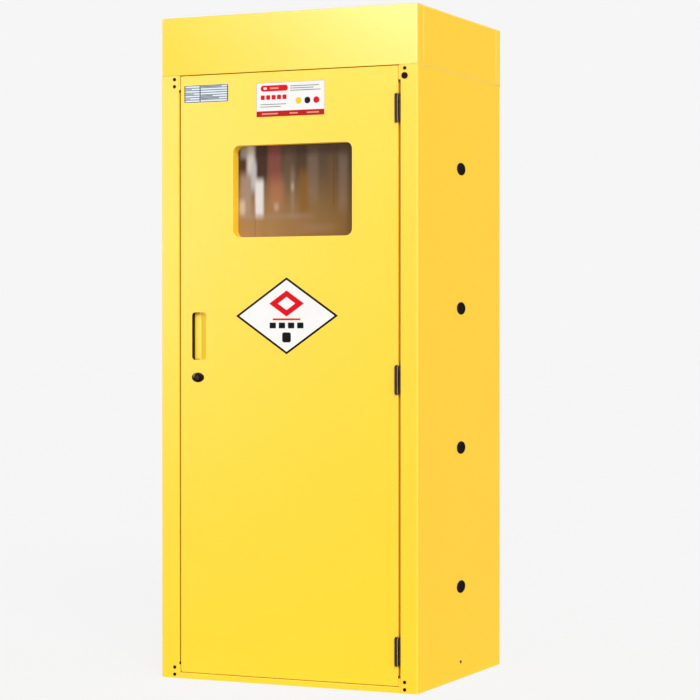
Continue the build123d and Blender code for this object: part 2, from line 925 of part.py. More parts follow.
# Rounded rectangle of the window, grown on every side, from one depth to another
def window_block(grow, near, far):
    with BuildPart() as block:
        with BuildSketch(Plane.XZ.offset(-near)):
            with Locations((window_x, window_z)):
                RectangleRounded(window_width + 2 * grow, window_height + 2 * grow, window_radius + grow)
        extrude(amount=near - far)
    return block.part


# Outer skin of the door: a pan with openings for window, pull and lock
with BuildPart() as door_skin:
    with BuildSketch(Plane.XZ.offset(-door_back)):
        with Locations((door_x, door_z)):
            RectangleRounded(door_width, door_height, door_corner_radius)
    extrude(amount=door_thickness)
    fillet(door_skin.faces().sort_by(Axis.Y)[0].edges(), door_edge_radius)
    with BuildSketch(Plane.XZ.offset(-door_back)):
        with Locations((door_x, door_z)):
            RectangleRounded(door_width - 2 * sheet, door_height - 2 * sheet, door_corner_radius - sheet)
    extrude(amount=door_thickness - sheet, mode=Mode.SUBTRACT)
    with BuildSketch(Plane.XZ.offset(-front)):
        with Locations((window_x, window_z)):
            RectangleRounded(window_width, window_height, window_radius)
        with Locations((pull_x, pull_centre_height)):
            RectangleRounded(pull_width, pull_height, pull_radius)
        with Locations((lock_x, lock_height)):
            Circle(lock_hole_radius)
    extrude(amount=-sheet, mode=Mode.SUBTRACT)
    # Notches round the hinge barrels
    with BuildSketch(Plane.XZ.offset(-front + overrun)):
        for z in hinge_places:
            with Locations((hinge_x - hinge_notch_side, z)):
                Rectangle(
                    hinge_notch_side + hinge_axis_inset + overrun,
                    hinge_leaf_height + 2 * clearance,
                    align=(Align.MIN, Align.CENTER),
                )
    extrude(amount=-(overrun + hinge_notch_depth), mode=Mode.SUBTRACT)
    # Bend reliefs in both edge flanges
    with BuildSketch(Plane.XZ.offset(-front - sheet)):
        for z in (relief_bottom - relief_height / 2, relief_top + relief_height / 2):
            with Locations((door_left, z), (door_right, z)):
                Rectangle(2 * (sheet + overrun), relief_height)
    extrude(amount=sheet - relief_depth, mode=Mode.SUBTRACT)
    with Locations(*door_hinge_screw_locations):
        add(hinge_screw(shaft_clearance), mode=Mode.SUBTRACT)
save(door_skin, "door_skin")

# Inner skin of the door, flanged to fit inside the outer skin
with BuildPart() as door_inner_panel:
    with BuildSketch(Plane.XZ.offset(-door_back)):
        with Locations((door_x, door_z)):
            RectangleRounded(door_width - 2 * sheet, door_height - 2 * sheet, door_corner_radius - sheet)
    extrude(amount=inner_flange_length)
    with BuildSketch(Plane.XZ.offset(-door_back + liner_sheet)):
        with Locations((door_x, door_z)):
            Rectangle(door_width - 2 * (sheet + liner_sheet), door_height - 2 * (sheet + liner_sheet))
    extrude(amount=inner_flange_length, mode=Mode.SUBTRACT)
    add(window_block(glass_lip + gasket_wall + clearance, door_back - sheet, door_back), mode=Mode.SUBTRACT)
    with BuildSketch(Plane.XZ.offset(-door_back)):
        with Locations((lock_x, lock_height)):
            Circle(lock_hole_radius)
    extrude(amount=liner_sheet, mode=Mode.SUBTRACT)
save(door_inner_panel, "door_inner_panel")

# Cross stiffeners between the two skins, from beside the pull to the hinged edge
stiffener_left = pull_right + pull_flange + stiffener_end_gap
stiffener_right = door_right - stiffener_end_gap
low_stiffener_z = door_bottom + stiffener_above_sill
high_stiffener_z = window_z - window_height / 2 - stiffener_below_window
with BuildPart() as door_stiffeners:
    with BuildSketch(Plane.YZ.offset(stiffener_left)):
        for z in (low_stiffener_z, high_stiffener_z):
            with BuildLine():
                FilletPolyline(
                    *hat_line(door_back - liner_sheet, front + sheet, z, stiffener_web, stiffener_flange),
                    radius=bend,
                )
            trace(line_width=sheet)
    extrude(amount=stiffener_right - stiffener_left)
save(door_stiffeners, "door_stiffeners")

# Reveal of the window: a sleeve from the outer skin to the glass, with a flange for the gasket
with BuildPart() as window_reveal:
    add(window_block(sheet, front + sheet, gasket_front))
    add(window_block(reveal_flange, gasket_front - sheet, gasket_front))
    add(window_block(0, front, gasket_front), mode=Mode.SUBTRACT)
save(window_reveal, "window_reveal")

with BuildPart() as window_glass:
    add(window_block(glass_lip, glass_front, glass_front + glass_thickness))
save(window_glass, "window_glass")

# Rubber channel round the edge of the glass
with BuildPart() as window_gasket:
    add(window_block(glass_lip + gasket_wall, gasket_front, gasket_back))
    add(window_block(glass_lip - gasket_bite, gasket_front, gasket_back), mode=Mode.SUBTRACT)
    add(window_block(glass_lip, glass_front, glass_front + glass_thickness), mode=Mode.SUBTRACT)
save(window_gasket, "window_gasket")

# Frame on the inside of the door that holds the glass, with its screws
column_shares = [2 * n / (retainer_screw_columns - 1) - 1 for n in range(retainer_screw_columns)]
row_shares = [2 * n / (retainer_screw_rows - 1) - 1 for n in range(retainer_screw_rows)]
screw_half_width = window_width / 2 - window_radius
screw_half_height = window_height / 2 - window_radius
retainer_screw_places = []
for hand in (-1, 1):
    screw_x = window_x + hand * (window_width / 2 + retainer_screw_line)
    screw_z = window_z + hand * (window_height / 2 + retainer_screw_line)
    retainer_screw_places += [(window_x + share * screw_half_width, screw_z) for share in column_shares]
    retainer_screw_places += [(screw_x, window_z + share * screw_half_height) for share in row_shares]
with BuildPart() as window_retainer:
    add(window_block(retainer_width, door_back, door_back + retainer_thickness))
    add(window_block(0, door_back, door_back + retainer_thickness), mode=Mode.SUBTRACT)
save(window_retainer, "window_retainer")

with BuildPart() as retainer_screws:
    with BuildSketch(Plane.XZ.offset(-door_back - retainer_thickness)):
        with Locations(*retainer_screw_places):
            Circle(retainer_screw_radius)
    extrude(amount=-retainer_screw_height)
    chamfer(retainer_screws.faces().filter_by(Axis.Y).group_by(Axis.Y)[-1].edges(), retainer_screw_chamfer)
save(retainer_screws, "retainer_screws")


# Pressed cup of the pull, grown on every side. On the left it reaches behind the skin, so that fingers
# hook over the skin's edge, and on the right it slopes out
cup_left = pull_left - pull_undercut
cup_x = (cup_left + pull_right) / 2
cup_width = pull_right - cup_left


def pull_block(grow):
    with BuildPart() as block:
        with BuildSketch(Plane.XZ.offset(-front - sheet)):
            with Locations((cup_x, pull_centre_height)):
                RectangleRounded(cup_width + 2 * grow, pull_height + 2 * grow, pull_radius + grow)
        extrude(amount=sheet - pull_depth - grow)
        with BuildSketch(Plane.XY.offset(pull_bottom - grow)):
            with BuildLine():
                Polyline(
                    (cup_left - grow, front + sheet),
                    (cup_left - grow, front + pull_depth + grow),
                    (pull_left + pull_floor_width + grow, front + pull_depth + grow),
                    (pull_right + grow, front + sheet),
                    close=True,
                )
            make_face()
        extrude(amount=pull_height + 2 * grow, mode=Mode.INTERSECT)
    return block.part


with BuildPart() as pull_cup:
    with BuildSketch(Plane.XZ.offset(-front - sheet)):
        with Locations((cup_x, pull_centre_height)):
            RectangleRounded(
                cup_width + 2 * pull_flange,
                pull_height + 2 * pull_flange,
                pull_radius + pull_flange,
            )
    extrude(amount=-liner_sheet)
    add(pull_block(liner_sheet))
    add(pull_block(0), mode=Mode.SUBTRACT)
save(pull_cup, "pull_cup")

# Cam lock: oval escutcheon, housing, nut, barrel, cam and cam screw
with BuildPart() as lock_escutcheon:
    with BuildSketch(Plane.XZ.offset(-front)):
        with Locations((lock_x, lock_height)):
            Ellipse(escutcheon_width / 2, escutcheon_height / 2)
    extrude(amount=escutcheon_thickness)
    chamfer(lock_escutcheon.faces().sort_by(Axis.Y)[0].edges(), escutcheon_chamfer)
    with BuildSketch(Plane.XZ.offset(-front)):
        with Locations((lock_x, lock_height)):
            Circle(lock_body_radius + shaft_clearance)
    extrude(amount=escutcheon_thickness, mode=Mode.SUBTRACT)
save(lock_escutcheon, "lock_escutcheon")

with BuildPart() as lock_housing:
    with BuildSketch(Plane.XZ.offset(-lock_nose)):
        with Locations((lock_x, lock_height)):
            Circle(lock_head_radius)
    extrude(amount=-lock_head_thickness)
    chamfer(lock_housing.faces().sort_by(Axis.Y)[0].edges(), lock_head_chamfer)
    with BuildSketch(Plane.XZ.offset(-lock_nose)):
        with Locations((lock_x, lock_height)):
            Circle(lock_body_radius)
    extrude(amount=lock_nose + lock_head_thickness - lock_body_end)
    with BuildSketch(Plane.XZ.offset(-lock_nose)):
        with Locations((lock_x, lock_height)):
            Circle(lock_barrel_radius + shaft_clearance)
    extrude(amount=lock_nose - lock_body_end, mode=Mode.SUBTRACT)
save(lock_housing, "lock_housing")

with BuildPart() as lock_nut:
    with BuildSketch(Plane.XZ.offset(-door_back)):
        with Locations((lock_x, lock_height)):
            RegularPolygon(nut_across_flats / 2, 6, major_radius=False)
            Circle(lock_body_radius + shaft_clearance, mode=Mode.SUBTRACT)
    extrude(amount=-nut_thickness)
save(lock_nut, "lock_nut")

with BuildPart() as lock_barrel:
    with BuildSketch(Plane.XZ.offset(-lock_nose)):
        with Locations((lock_x, lock_height)):
            Circle(lock_barrel_radius)
    extrude(amount=lock_nose - cam_front)
    with BuildSketch(Plane.XZ.offset(-cam_front)):
        with Locations((lock_x, lock_height)):
            Rectangle(tenon_width, tenon_width)
    extrude(amount=-cam_thickness)
    with BuildSketch(Plane.XZ.offset(-lock_nose)):
        with Locations((lock_x, lock_height)):
            Rectangle(keyway_width, keyway_height)
    extrude(amount=-keyway_depth, mode=Mode.SUBTRACT)
    with BuildSketch(Plane.XZ.offset(-cam_back)):
        with Locations((lock_x, lock_height)):
            Circle(cam_screw_radius + shaft_clearance)
    extrude(amount=cam_screw_length + clearance, mode=Mode.SUBTRACT)
save(lock_barrel, "lock_barrel")

with BuildPart() as lock_cam:
    with BuildSketch(Plane.XZ.offset(-cam_front)):
        with Locations((lock_x, lock_height + cam_width / 2)):
            SlotOverall(
                cam_length + cam_width / 2,
                cam_width,
                rotation=90,
                align=(Align.CENTER, Align.MAX),
            )
        with Locations((lock_x, lock_height)):
            Rectangle(tenon_width, tenon_width, mode=Mode.SUBTRACT)
    extrude(amount=-cam_thickness)
save(lock_cam, "lock_cam")

with BuildPart() as cam_screw:
    with BuildSketch(Plane.XZ.offset(-cam_back)):
        with Locations((lock_x, lock_height)):
            Circle(cam_screw_head_radius)
    extrude(amount=-cam_screw_head_height)
    with BuildSketch(Plane.XZ.offset(-cam_back)):
        with Locations((lock_x, lock_height)):
            Circle(cam_screw_radius)
    extrude(amount=cam_screw_length)
save(cam_screw, "cam_screw")

# Bolts that hold each cradle to its rail
bolt_y = (rail_front + liner_back) / 2
bolt_pitch = 2 * (cradle_half_width - cradle_bolt_inset) / (cradle_bolt_count - 1)
bolt_columns = [cradle_bolt_inset - cradle_half_width + bolt_pitch * n for n in range(cradle_bolt_count)]
bolt_places = [(x, bolt_y) for x in bolt_columns]


# Channel on the back wall that carries a cradle whose plate lies at height z
def cylinder_rail(z):
    with BuildPart() as rail:
        with BuildSketch(Plane.YZ.offset(-cradle_half_width)):
            with BuildLine():
                FilletPolyline(
                    (rail_front, z - cradle_sheet / 2),
                    (liner_back - cradle_sheet / 2, z - cradle_sheet / 2),
                    (liner_back - cradle_sheet / 2, z - rail_height + cradle_sheet / 2),
                    (rail_front, z - rail_height + cradle_sheet / 2),
                    radius=bend,
                )
            trace(line_width=cradle_sheet)
        extrude(amount=2 * cradle_half_width)
        with BuildSketch(Plane.XY.offset(z)):
            with Locations(*bolt_places):
                Circle(cradle_bolt_radius + shaft_clearance)
        extrude(amount=-cradle_sheet, mode=Mode.SUBTRACT)
    return rail


# Cradle plate with a lip and a half-round notch for each cylinder
def cylinder_cradle(z):
    with BuildPart() as cradle:
        with BuildSketch(Plane.YZ.offset(-cradle_half_width)):
            with BuildLine():
                FilletPolyline(
                    (cylinder_y + cradle_sheet / 2, z + cradle_sheet - cradle_lip),
                    (cylinder_y + cradle_sheet / 2, z + cradle_sheet / 2),
                    (liner_back - cradle_rear_gap, z + cradle_sheet / 2),
                    radius=bend,
                )
            trace(line_width=cradle_sheet)
        extrude(amount=2 * cradle_half_width)
        with BuildSketch(Plane.XY.offset(z + cradle_sheet)):
            for x in cylinder_places:
                with Locations((x, cylinder_y)):
                    Circle(cylinder_radius)
            with Locations(*bolt_places):
                Circle(cradle_bolt_radius + shaft_clearance)
        extrude(amount=-cradle_lip, mode=Mode.SUBTRACT)
    return cradle


lower_rail = cylinder_rail(lower_cradle_height)
upper_rail = cylinder_rail(upper_cradle_height)
save(lower_rail, "lower_rail")
save(upper_rail, "upper_rail")
lower_cradle = cylinder_cradle(lower_cradle_height)
upper_cradle = cylinder_cradle(upper_cradle_height)
save(lower_cradle, "lower_cradle")
save(upper_cradle, "upper_cradle")

# Rubber edging of the notches
with BuildPart() as cradle_trim:
    for z in cradle_heights:
        with BuildSketch(Plane.XY.offset(z - trim_wall)):
            for x in cylinder_places:
                with Locations((x, cylinder_y)):
                    Circle(cylinder_radius + trim_bite)
                    Circle(cylinder_radius - trim_wall, mode=Mode.SUBTRACT)
            with Locations((0, cylinder_y + trim_end_gap)):
                Rectangle(width, depth, align=(Align.CENTER, Align.MAX), mode=Mode.SUBTRACT)
        extrude(amount=cradle_sheet + 2 * trim_wall)
        with BuildSketch(Plane.XY.offset(z)):
            for x in cylinder_places:
                with Locations((x, cylinder_y)):
                    Circle(cylinder_radius + 2 * trim_bite)
                    Circle(cylinder_radius, mode=Mode.SUBTRACT)
        extrude(amount=cradle_sheet, mode=Mode.SUBTRACT)
save(cradle_trim, "cradle_trim")

with BuildPart() as cradle_bolts:
    for z in cradle_heights:
        with BuildSketch(Plane.XY.offset(z + cradle_sheet)):
            with Locations(*bolt_places):
                RegularPolygon(cradle_bolt_head_radius, 6)
        extrude(amount=cradle_bolt_head_height)
        with BuildSketch(Plane.XY.offset(z + cradle_sheet)):
            with Locations(*bolt_places):
                Circle(cradle_bolt_radius)
        extrude(amount=-cradle_bolt_length)
save(cradle_bolts, "cradle_bolts")

# Bracket on the left-hand inner wall that the retaining bar pivots on
lug_front = bar_y + bar_thickness / 2 + clearance
lug_back = lug_front + bracket_lug_thickness
with BuildPart() as bar_bracket:
    with BuildSketch(Plane.YZ.offset(-liner_side)):
        with Locations((bar_y, bar_z)):
            Rectangle(bracket_plate_width, bracket_plate_height)
    extrude(amount=bracket_plate_thickness)
    with BuildSketch(Plane.XZ.offset(-lug_front)):
        with Locations((-liner_side, bar_z)):
            Rectangle(bar_pivot_gap, 2 * bracket_lug_radius, align=(Align.MIN, Align.CENTER))
        with Locations((bar_pivot_x, bar_z)):
            Circle(bracket_lug_radius)
            Circle(bar_pin_radius + shaft_clearance, mode=Mode.SUBTRACT)
    extrude(amount=-bracket_lug_thickness)
save(bar_bracket, "bar_bracket")

bar_pin_head_back = bar_y - bar_thickness / 2 - clearance
with BuildPart() as bar_pin:
    with BuildSketch(Plane.XZ.offset(-bar_pin_head_back)):
        with Locations((bar_pivot_x, bar_z)):
            Circle(bar_pin_head_radius)
    extrude(amount=bar_pin_head_thickness)
    with BuildSketch(Plane.XZ.offset(-bar_pin_head_back)):
        with Locations((bar_pivot_x, bar_z)):
            Circle(bar_pin_radius)
    extrude(amount=bar_pin_head_back - lug_back)
save(bar_pin, "bar_pin")

# Open catch on the right-hand inner wall that the bar drops into
catch_half = bar_thickness / 2 + catch_side_gap + catch_wall / 2
catch_floor = bar_z - bar_height / 2 - clearance - catch_wall / 2
with BuildPart() as bar_catch:
    with BuildSketch(Plane.YZ.offset(liner_side)):
        with Locations((bar_y, bar_z)):
            Rectangle(bracket_plate_width, bracket_plate_height)
    extrude(amount=-bracket_plate_thickness)
    with BuildSketch(Plane.YZ.offset(liner_side)):
        with BuildLine():
            FilletPolyline(
                (bar_y - catch_half, catch_floor + catch_lip_height),
                (bar_y - catch_half, catch_floor),
                (bar_y + catch_half, catch_floor),
                (bar_y + catch_half, catch_floor + catch_lip_height),
                radius=bend,
            )
        trace(line_width=catch_wall)
    extrude(amount=-catch_reach)
save(bar_catch, "bar_catch")

# Flat retaining bar with a ball knob to lift it by
with BuildPart() as retaining_bar:
    with BuildSketch(Plane.XZ.offset(-bar_y - bar_thickness / 2)):
        with Locations((bar_pivot_x - bar_height / 2, bar_z)):
            SlotOverall(
                bar_end_x - bar_pivot_x + bar_height / 2,
                bar_height,
                align=(Align.MIN, Align.CENTER),
            )
        with Locations((bar_pivot_x, bar_z)):
            Circle(bar_pin_radius + shaft_clearance, mode=Mode.SUBTRACT)
    extrude(amount=bar_thickness)
save(retaining_bar, "retaining_bar")

knob_x = bar_end_x - knob_from_end
knob_stem_y = bar_y - bar_thickness / 2
with BuildPart() as bar_knob:
    with BuildSketch(Plane.XZ.offset(-knob_stem_y)):
        with Locations((knob_x, bar_z)):
            Circle(knob_stem_radius)
    extrude(amount=knob_stem_length)
    with Locations((knob_x, knob_stem_y - knob_stem_length - knob_radius / 2, bar_z)):
        Sphere(knob_radius)
save(bar_knob, "bar_knob")
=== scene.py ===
import math

import bmesh
import bpy
from bpy.props import FloatProperty, FloatVectorProperty, IntProperty, PointerProperty
from mathutils import Euler, Matrix, Quaternion, Vector


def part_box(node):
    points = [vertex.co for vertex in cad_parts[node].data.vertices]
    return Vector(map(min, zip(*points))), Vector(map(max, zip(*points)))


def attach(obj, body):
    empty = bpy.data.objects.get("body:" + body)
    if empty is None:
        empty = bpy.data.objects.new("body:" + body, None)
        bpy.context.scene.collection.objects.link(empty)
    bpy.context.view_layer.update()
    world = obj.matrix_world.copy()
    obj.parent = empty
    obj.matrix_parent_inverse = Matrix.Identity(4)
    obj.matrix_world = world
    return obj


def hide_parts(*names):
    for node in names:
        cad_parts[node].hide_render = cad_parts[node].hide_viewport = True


bl_info = {
    "name": "Gas Cylinder Cabinet",
    "version": (1, 0, 0),
    "blender": (4, 5, 0),
    "location": "View3D > Sidebar > Cabinet",
    "description": "Finishes a yellow gas cylinder cabinet and sets it on a studio floor",
    "category": "Object",
}

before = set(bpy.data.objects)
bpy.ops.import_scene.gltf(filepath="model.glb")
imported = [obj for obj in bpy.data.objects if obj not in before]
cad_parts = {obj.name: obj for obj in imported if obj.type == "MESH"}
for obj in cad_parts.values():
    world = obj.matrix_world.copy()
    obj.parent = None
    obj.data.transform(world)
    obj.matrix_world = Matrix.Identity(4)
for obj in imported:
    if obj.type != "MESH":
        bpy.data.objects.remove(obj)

DOOR_LOW, DOOR_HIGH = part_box("door_skin")
# The door's outer face, which the plates, the lock and the front screws lie on
FRONT = DOOR_LOW.y
# The outer face of the right-hand side wall, and the lower edge of the hood
SIDE = -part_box("left_side_panel")[0].x
HOOD_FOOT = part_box("hood_front")[0].z

# From a piece drawn flat, facing +z, to one on the front, facing -y, or on a side, facing +x or -x
ON_FRONT = Euler((math.pi / 2, 0, 0)).to_matrix().to_4x4()
ON_RIGHT = Euler((math.pi / 2, 0, math.pi / 2)).to_matrix().to_4x4()
ON_LEFT = Euler((math.pi / 2, 0, -math.pi / 2)).to_matrix().to_4x4()


def length(name, description, default, high=10.0):
    return FloatProperty(
        name=name, description=description, default=default, min=0, max=high, unit="LENGTH", precision=4
    )


def position(name, description, default):
    return FloatProperty(name=name, description=description, default=default, unit="LENGTH", precision=4)


def angle(name, description, degrees):
    return FloatProperty(name=name, description=description, default=math.radians(degrees), subtype="ANGLE")


def count(name, description, default, low, high):
    return IntProperty(name=name, description=description, default=default, min=low, max=high)


def colour(name, description, default):
    return FloatVectorProperty(
        name=name, description=description, default=default, size=3, min=0, max=1, subtype="COLOR"
    )


def amount(name, description, default, high=1.0):
    return FloatProperty(name=name, description=description, default=default, min=0, max=high)


class CabinetPaint(bpy.types.PropertyGroup):
    """Powder coat on the sheet steel"""

    outside: colour("Outside", "Yellow of the outer sheets", (0.98, 0.61, 0.030))
    inside: colour("Inside", "Yellow of the inner sheets", (0.86, 0.52, 0.02))
    # Pale tone of worn edges, which also serves as a painted highlight on the outer corners
    worn_edge_and_highlight: colour("Rubbed", "Tone of handled edges", (1.0, 0.90, 0.42))
    cloud: length("Cloud Size", "Width of the faint clouds", 0.35)
    peel: length("Peel Size", "Width of the bumps in the coat", 0.0022)
    peel_depth: length("Peel Depth", "Height of the bumps in the coat", 0.00006, 0.001)
    roughness: amount("Roughness", "Roughness of the coat", 0.42)
    rounding: length("Edge Rounding", "Radius that the coat gives to cut edges", 0.0009, 0.01)


class CabinetFittings(bpy.types.PropertyGroup):
    """Screws, plugs and the lock's bezel"""

    screw_radius: length("Screw Radius", "Radius of the front screws", 0.005)
    screw_dome: length("Screw Dome", "Height of the screw heads", 0.002)
    screw_recess: length("Screw Recess", "Half width of the recess", 0.0026)
    screw_gap: length("Screw Gap", "Height between two screws of a pair", 0.0205)
    screw_slot: length("Screw Slot", "Width of the recess's arms", 0.0012)
    screw_depth: length("Recess Depth", "Depth of the recess", 0.0011)
    plug_width: length("Plug Width", "Width of a pipe plug's rim", 0.064)
    plug_height: length("Plug Height", "Height of a pipe plug's rim", 0.036)
    plug_lip: length("Plug Lip", "How far a plug stands out", 0.0016)
    bezel_width: length("Bezel Width", "Width of the lock's oval bezel", 0.040)
    bezel_height: length("Bezel Height", "Height of the lock's oval bezel", 0.028)
    bezel_depth: length("Bezel Depth", "How far the bezel stands out", 0.0025)
    bezel_hole: length("Bezel Hole", "Radius of the hole for the lock", 0.00985)
    black: colour("Black", "Colour of screws and bezel", (0.012, 0.007, 0.004))
    hinge_black: colour("Hinge Black", "Colour of the hinges", (0.030, 0.019, 0.010))
    plastic: colour("Plastic", "Colour of plugs and knob", (0.005, 0.0035, 0.003))
    segments: count("Segments", "Sides of each round fitting", 48, 12, 128)


class CabinetPlates(bpy.types.PropertyGroup):
    """Plates stuck on the door"""

    thickness: length("Thickness", "Thickness of a plate", 0.0003, 0.002)
    ink: length("Ink", "Height of the print on a plate", 0.00008, 0.001)
    corner: length("Corner", "Radius of a plate's corners", 0.0015, 0.02)
    table_width: length("Table Width", "Width of the ruled plate", 0.141)
    table_height: length("Table Height", "Height of the ruled plate", 0.050)
    table_x: position("Table X", "Middle of the ruled plate", -0.2548)
    table_z: position("Table Z", "Height of the ruled plate's middle", 1.679)
    table_rows: count("Table Rows", "Rows of the ruled plate", 7, 2, 16)
    notice_width: length("Notice Width", "Width of the white plate", 0.213)
    notice_height: length("Notice Height", "Height of the white plate", 0.0963)
    notice_x: position("Notice X", "Middle of the white plate", 0.0118)
    notice_z: position("Notice Z", "Height of the white plate's middle", 1.6532)
    notice_band: length("Notice Band", "Height of the white plate's red band", 0.016)
    diamond_width: length("Diamond Width", "Width of the diamond plate", 0.319)
    diamond_height: length("Diamond Height", "Height of the diamond plate", 0.217)
    diamond_x: position("Diamond X", "Middle of the diamond plate", 0.0)
    diamond_z: position("Diamond Z", "Height of the diamond plate's middle", 1.0425)
    diamond_border: length("Diamond Border", "Width of the dark line round the diamond", 0.006)
    white: colour("White", "Ground of the plates", (0.82, 0.82, 0.81))
    foil: colour("Foil", "Ground of the ruled plate", (0.70, 0.78, 0.86))
    red: colour("Red", "Red print", (0.68, 0.004, 0.012))
    dark_red: colour("Dark Red", "Band on the white plate", (0.46, 0.012, 0.010))
    pale_red: colour("Pale Red", "Bars on the red print", (0.72, 0.30, 0.24))
    dark: colour("Dark", "Dark print", (0.006, 0.006, 0.007))
    blue: colour("Blue", "Ruled lines", (0.008, 0.014, 0.032))
    grey: colour("Grey", "Grey print", (0.16, 0.16, 0.17))


class CabinetStage(bpy.types.PropertyGroup):
    """Camera, floor and lamps"""

    eye: FloatVectorProperty(
        name="Eye",
        description="Place of the camera",
        default=(2.842, -6.206, 0.993),
        size=3,
        subtype="TRANSLATION",
        unit="LENGTH",
    )
    turn: angle("Turn", "Camera's turn to the left", 24.21)
    tilt: angle("Tilt", "Camera's tilt below level", 0.41)
    lens: FloatProperty(name="Lens", description="Focal length in millimetres", default=119.25, min=10)
    ground: colour("Ground", "Colour of floor and backdrop", (0.92, 0.92, 0.92))
    ground_hold: amount("Ground Hold", "How little the floor darkens in shadow", 0.92)
    sky: amount("Sky", "Strength of the light from all round", 0.53, 4)
    key: amount("Key", "Strength of the main lamp", 2.2, 20)
    key_side: angle("Key Side", "Main lamp's turn to the right of the front", 36)
    key_rise: angle("Key Rise", "Main lamp's height over level", 32)
    key_spread: angle("Key Spread", "Softness of the main lamp", 24)
    strip: amount("Strip", "Strength of the panel that edges mirror", 480, 900)
    sheen: amount("Hood Sheen", "Strength of the panel that the hood mirrors", 720, 2000)
    upper_sheen: amount("Upper Sheen", "Strength of the panel that the upper front mirrors", 300, 2000)
    door_sheen: amount("Door Sheen", "Strength of the panel that the door mirrors", 560, 2000)


# ---- Node building ----


def joined(value, target):
    """Links a socket to the target, or sets the target to a plain value."""
    if isinstance(value, bpy.types.NodeSocket):
        target.id_data.links.new(value, target)
    else:
        target.default_value = value


def node(tree, kind, feeds=None, **settings):
    """A shader node with its settings, and with each input linked to a socket or set to a value."""
    made = tree.nodes.new("ShaderNode" + kind)
    for name, value in settings.items():
        setattr(made, name, value)
    for name, value in (feeds or {}).items():
        joined(value, made.inputs[name])
    return made


def feed(made, **sockets):
    """Gives a node's inputs, named with _ for each space, their sockets or values."""
    for name, value in sockets.items():
        joined(value, made.inputs[name.replace("_", " ")])


def maths(operation, first, second=0.0, clamp=False):
    """The result of a sum on two values, of which at least one is a socket."""
    tree = next(value.id_data for value in (first, second) if isinstance(value, bpy.types.NodeSocket))
    made = node(tree, "Math", {0: first, 1: second}, operation=operation, use_clamp=clamp)
    return made.outputs[0]


def times(first, second, clamp=False):
    return maths("MULTIPLY", first, second, clamp)


def plus(first, second, clamp=False):
    return maths("ADD", first, second, clamp)


def minus(first, second):
    return maths("SUBTRACT", first, second)


def apart(first, second):
    """How far the two values are from each other."""
    return maths("ABSOLUTE", minus(first, second))


def split(vector):
    return node(vector.id_data, "SeparateXYZ", {0: vector}).outputs


def noise(place, scale, detail, roughness=0.5):
    feeds = {"Vector": place, "Scale": scale, "Detail": detail, "Roughness": roughness}
    return node(place.id_data, "TexNoise", feeds).outputs["Fac"]


def faded(value, start, end, low=0.0, high=1.0, curve="SMOOTHSTEP"):
    """Goes from low to high as the value goes from start to end."""
    feeds = {"Value": value, "From Min": start, "From Max": end, "To Min": low, "To Max": high}
    return node(value.id_data, "MapRange", feeds, interpolation_type=curve).outputs["Result"]


def faced(tree):
    return node(tree, "NewGeometry").outputs["Normal"]


def rounded(tree, radius):
    """The surface's normal, with the edges rounded."""
    return node(tree, "Bevel", {"Radius": radius}, samples=6).outputs["Normal"]


def blended(share, under, over):
    """Colour that goes from under to over with share."""
    made = node(share.id_data, "Mix", {"Factor": share}, data_type="RGBA")
    for name, value in (("A", under), ("B", over)):
        target = next(s for s in made.inputs if s.name == name and s.type == "RGBA")
        joined(value if isinstance(value, bpy.types.NodeSocket) else (*value[:3], 1), target)
    return next(s for s in made.outputs if s.type == "RGBA")


def effect(name, gives, **takes):
    """An empty node group that takes a place and named values, and the sockets of its inputs and outputs."""
    group = bpy.data.node_groups.new(name, "ShaderNodeTree")
    group.interface.new_socket(name="Place", in_out="INPUT", socket_type="NodeSocketVector")
    for label, value in takes.items():
        kind = "NodeSocketFloat" if isinstance(value, float) else "NodeSocketColor"
        socket = group.interface.new_socket(name=label.replace("_", " "), in_out="INPUT", socket_type=kind)
        socket.default_value = value
    for label in gives:
        kind = "NodeSocketColor" if label == "Color" else "NodeSocketFloat"
        group.interface.new_socket(name=label, in_out="OUTPUT", socket_type=kind)
    return group, group.nodes.new("NodeGroupInput").outputs, group.nodes.new("NodeGroupOutput").inputs


def coat_skin():
    """Powder coat: faint clouds of colour, uneven gloss and the bumps of the baked skin."""
    group, takes, gives = effect(
        "Coat Skin", ("Color", "Roughness", "Height"), Paint=(1.0, 1.0, 1.0, 1.0), Clouding=0.04,
        Cloud_Size=0.35, Peel_Size=0.002, Roughness=0.36, Uneven_Gloss=0.08
    )
    place = takes["Place"]
    clouds = noise(place, maths("DIVIDE", 1.0, takes["Cloud Size"]), 3.0)
    lift = times(minus(clouds, 0.5), takes["Clouding"])
    shade = node(group, "HueSaturation", {"Value": plus(lift, 1.0), "Color": takes["Paint"]})
    fine = maths("DIVIDE", 1.0, takes["Peel Size"])
    peel = noise(place, fine, 2.0, 0.45)
    dents = node(group, "TexVoronoi", {"Vector": place, "Scale": times(fine, 0.55)}, feature="SMOOTH_F1")
    smears = noise(place, maths("DIVIDE", 6.0, takes["Cloud Size"]), 4.0)
    gloss = times(minus(smears, 0.5), takes["Uneven Gloss"])
    joined(shade.outputs["Color"], gives["Color"])
    joined(plus(takes["Roughness"], gloss, clamp=True), gives["Roughness"])
    joined(plus(times(peel, 0.7), times(dents.outputs["Distance"], 0.3)), gives["Height"])
    return group


def patchy_edges():
    """Mask of outer and inner edges, broken up where hands and tools haven't been: worn edges, and on the
    paint also a painted highlight.
    """
    group, takes, gives = effect("Patchy Edges", ["Mask"], Width=0.001, Patch_Size=0.04, Cover=0.5)
    normals = {0: rounded(group, takes["Width"]), 1: faced(group)}
    same = node(group, "VectorMath", normals, operation="DOT_PRODUCT").outputs["Value"]
    edge = times(minus(1.0, same), 6.0, clamp=True)
    patches = noise(takes["Place"], maths("DIVIDE", 1.0, takes["Patch Size"]), 5.0)
    low = minus(0.85, times(takes["Cover"], 0.7))
    joined(times(edge, faded(patches, low, plus(low, 0.15))), gives["Mask"])
    return group


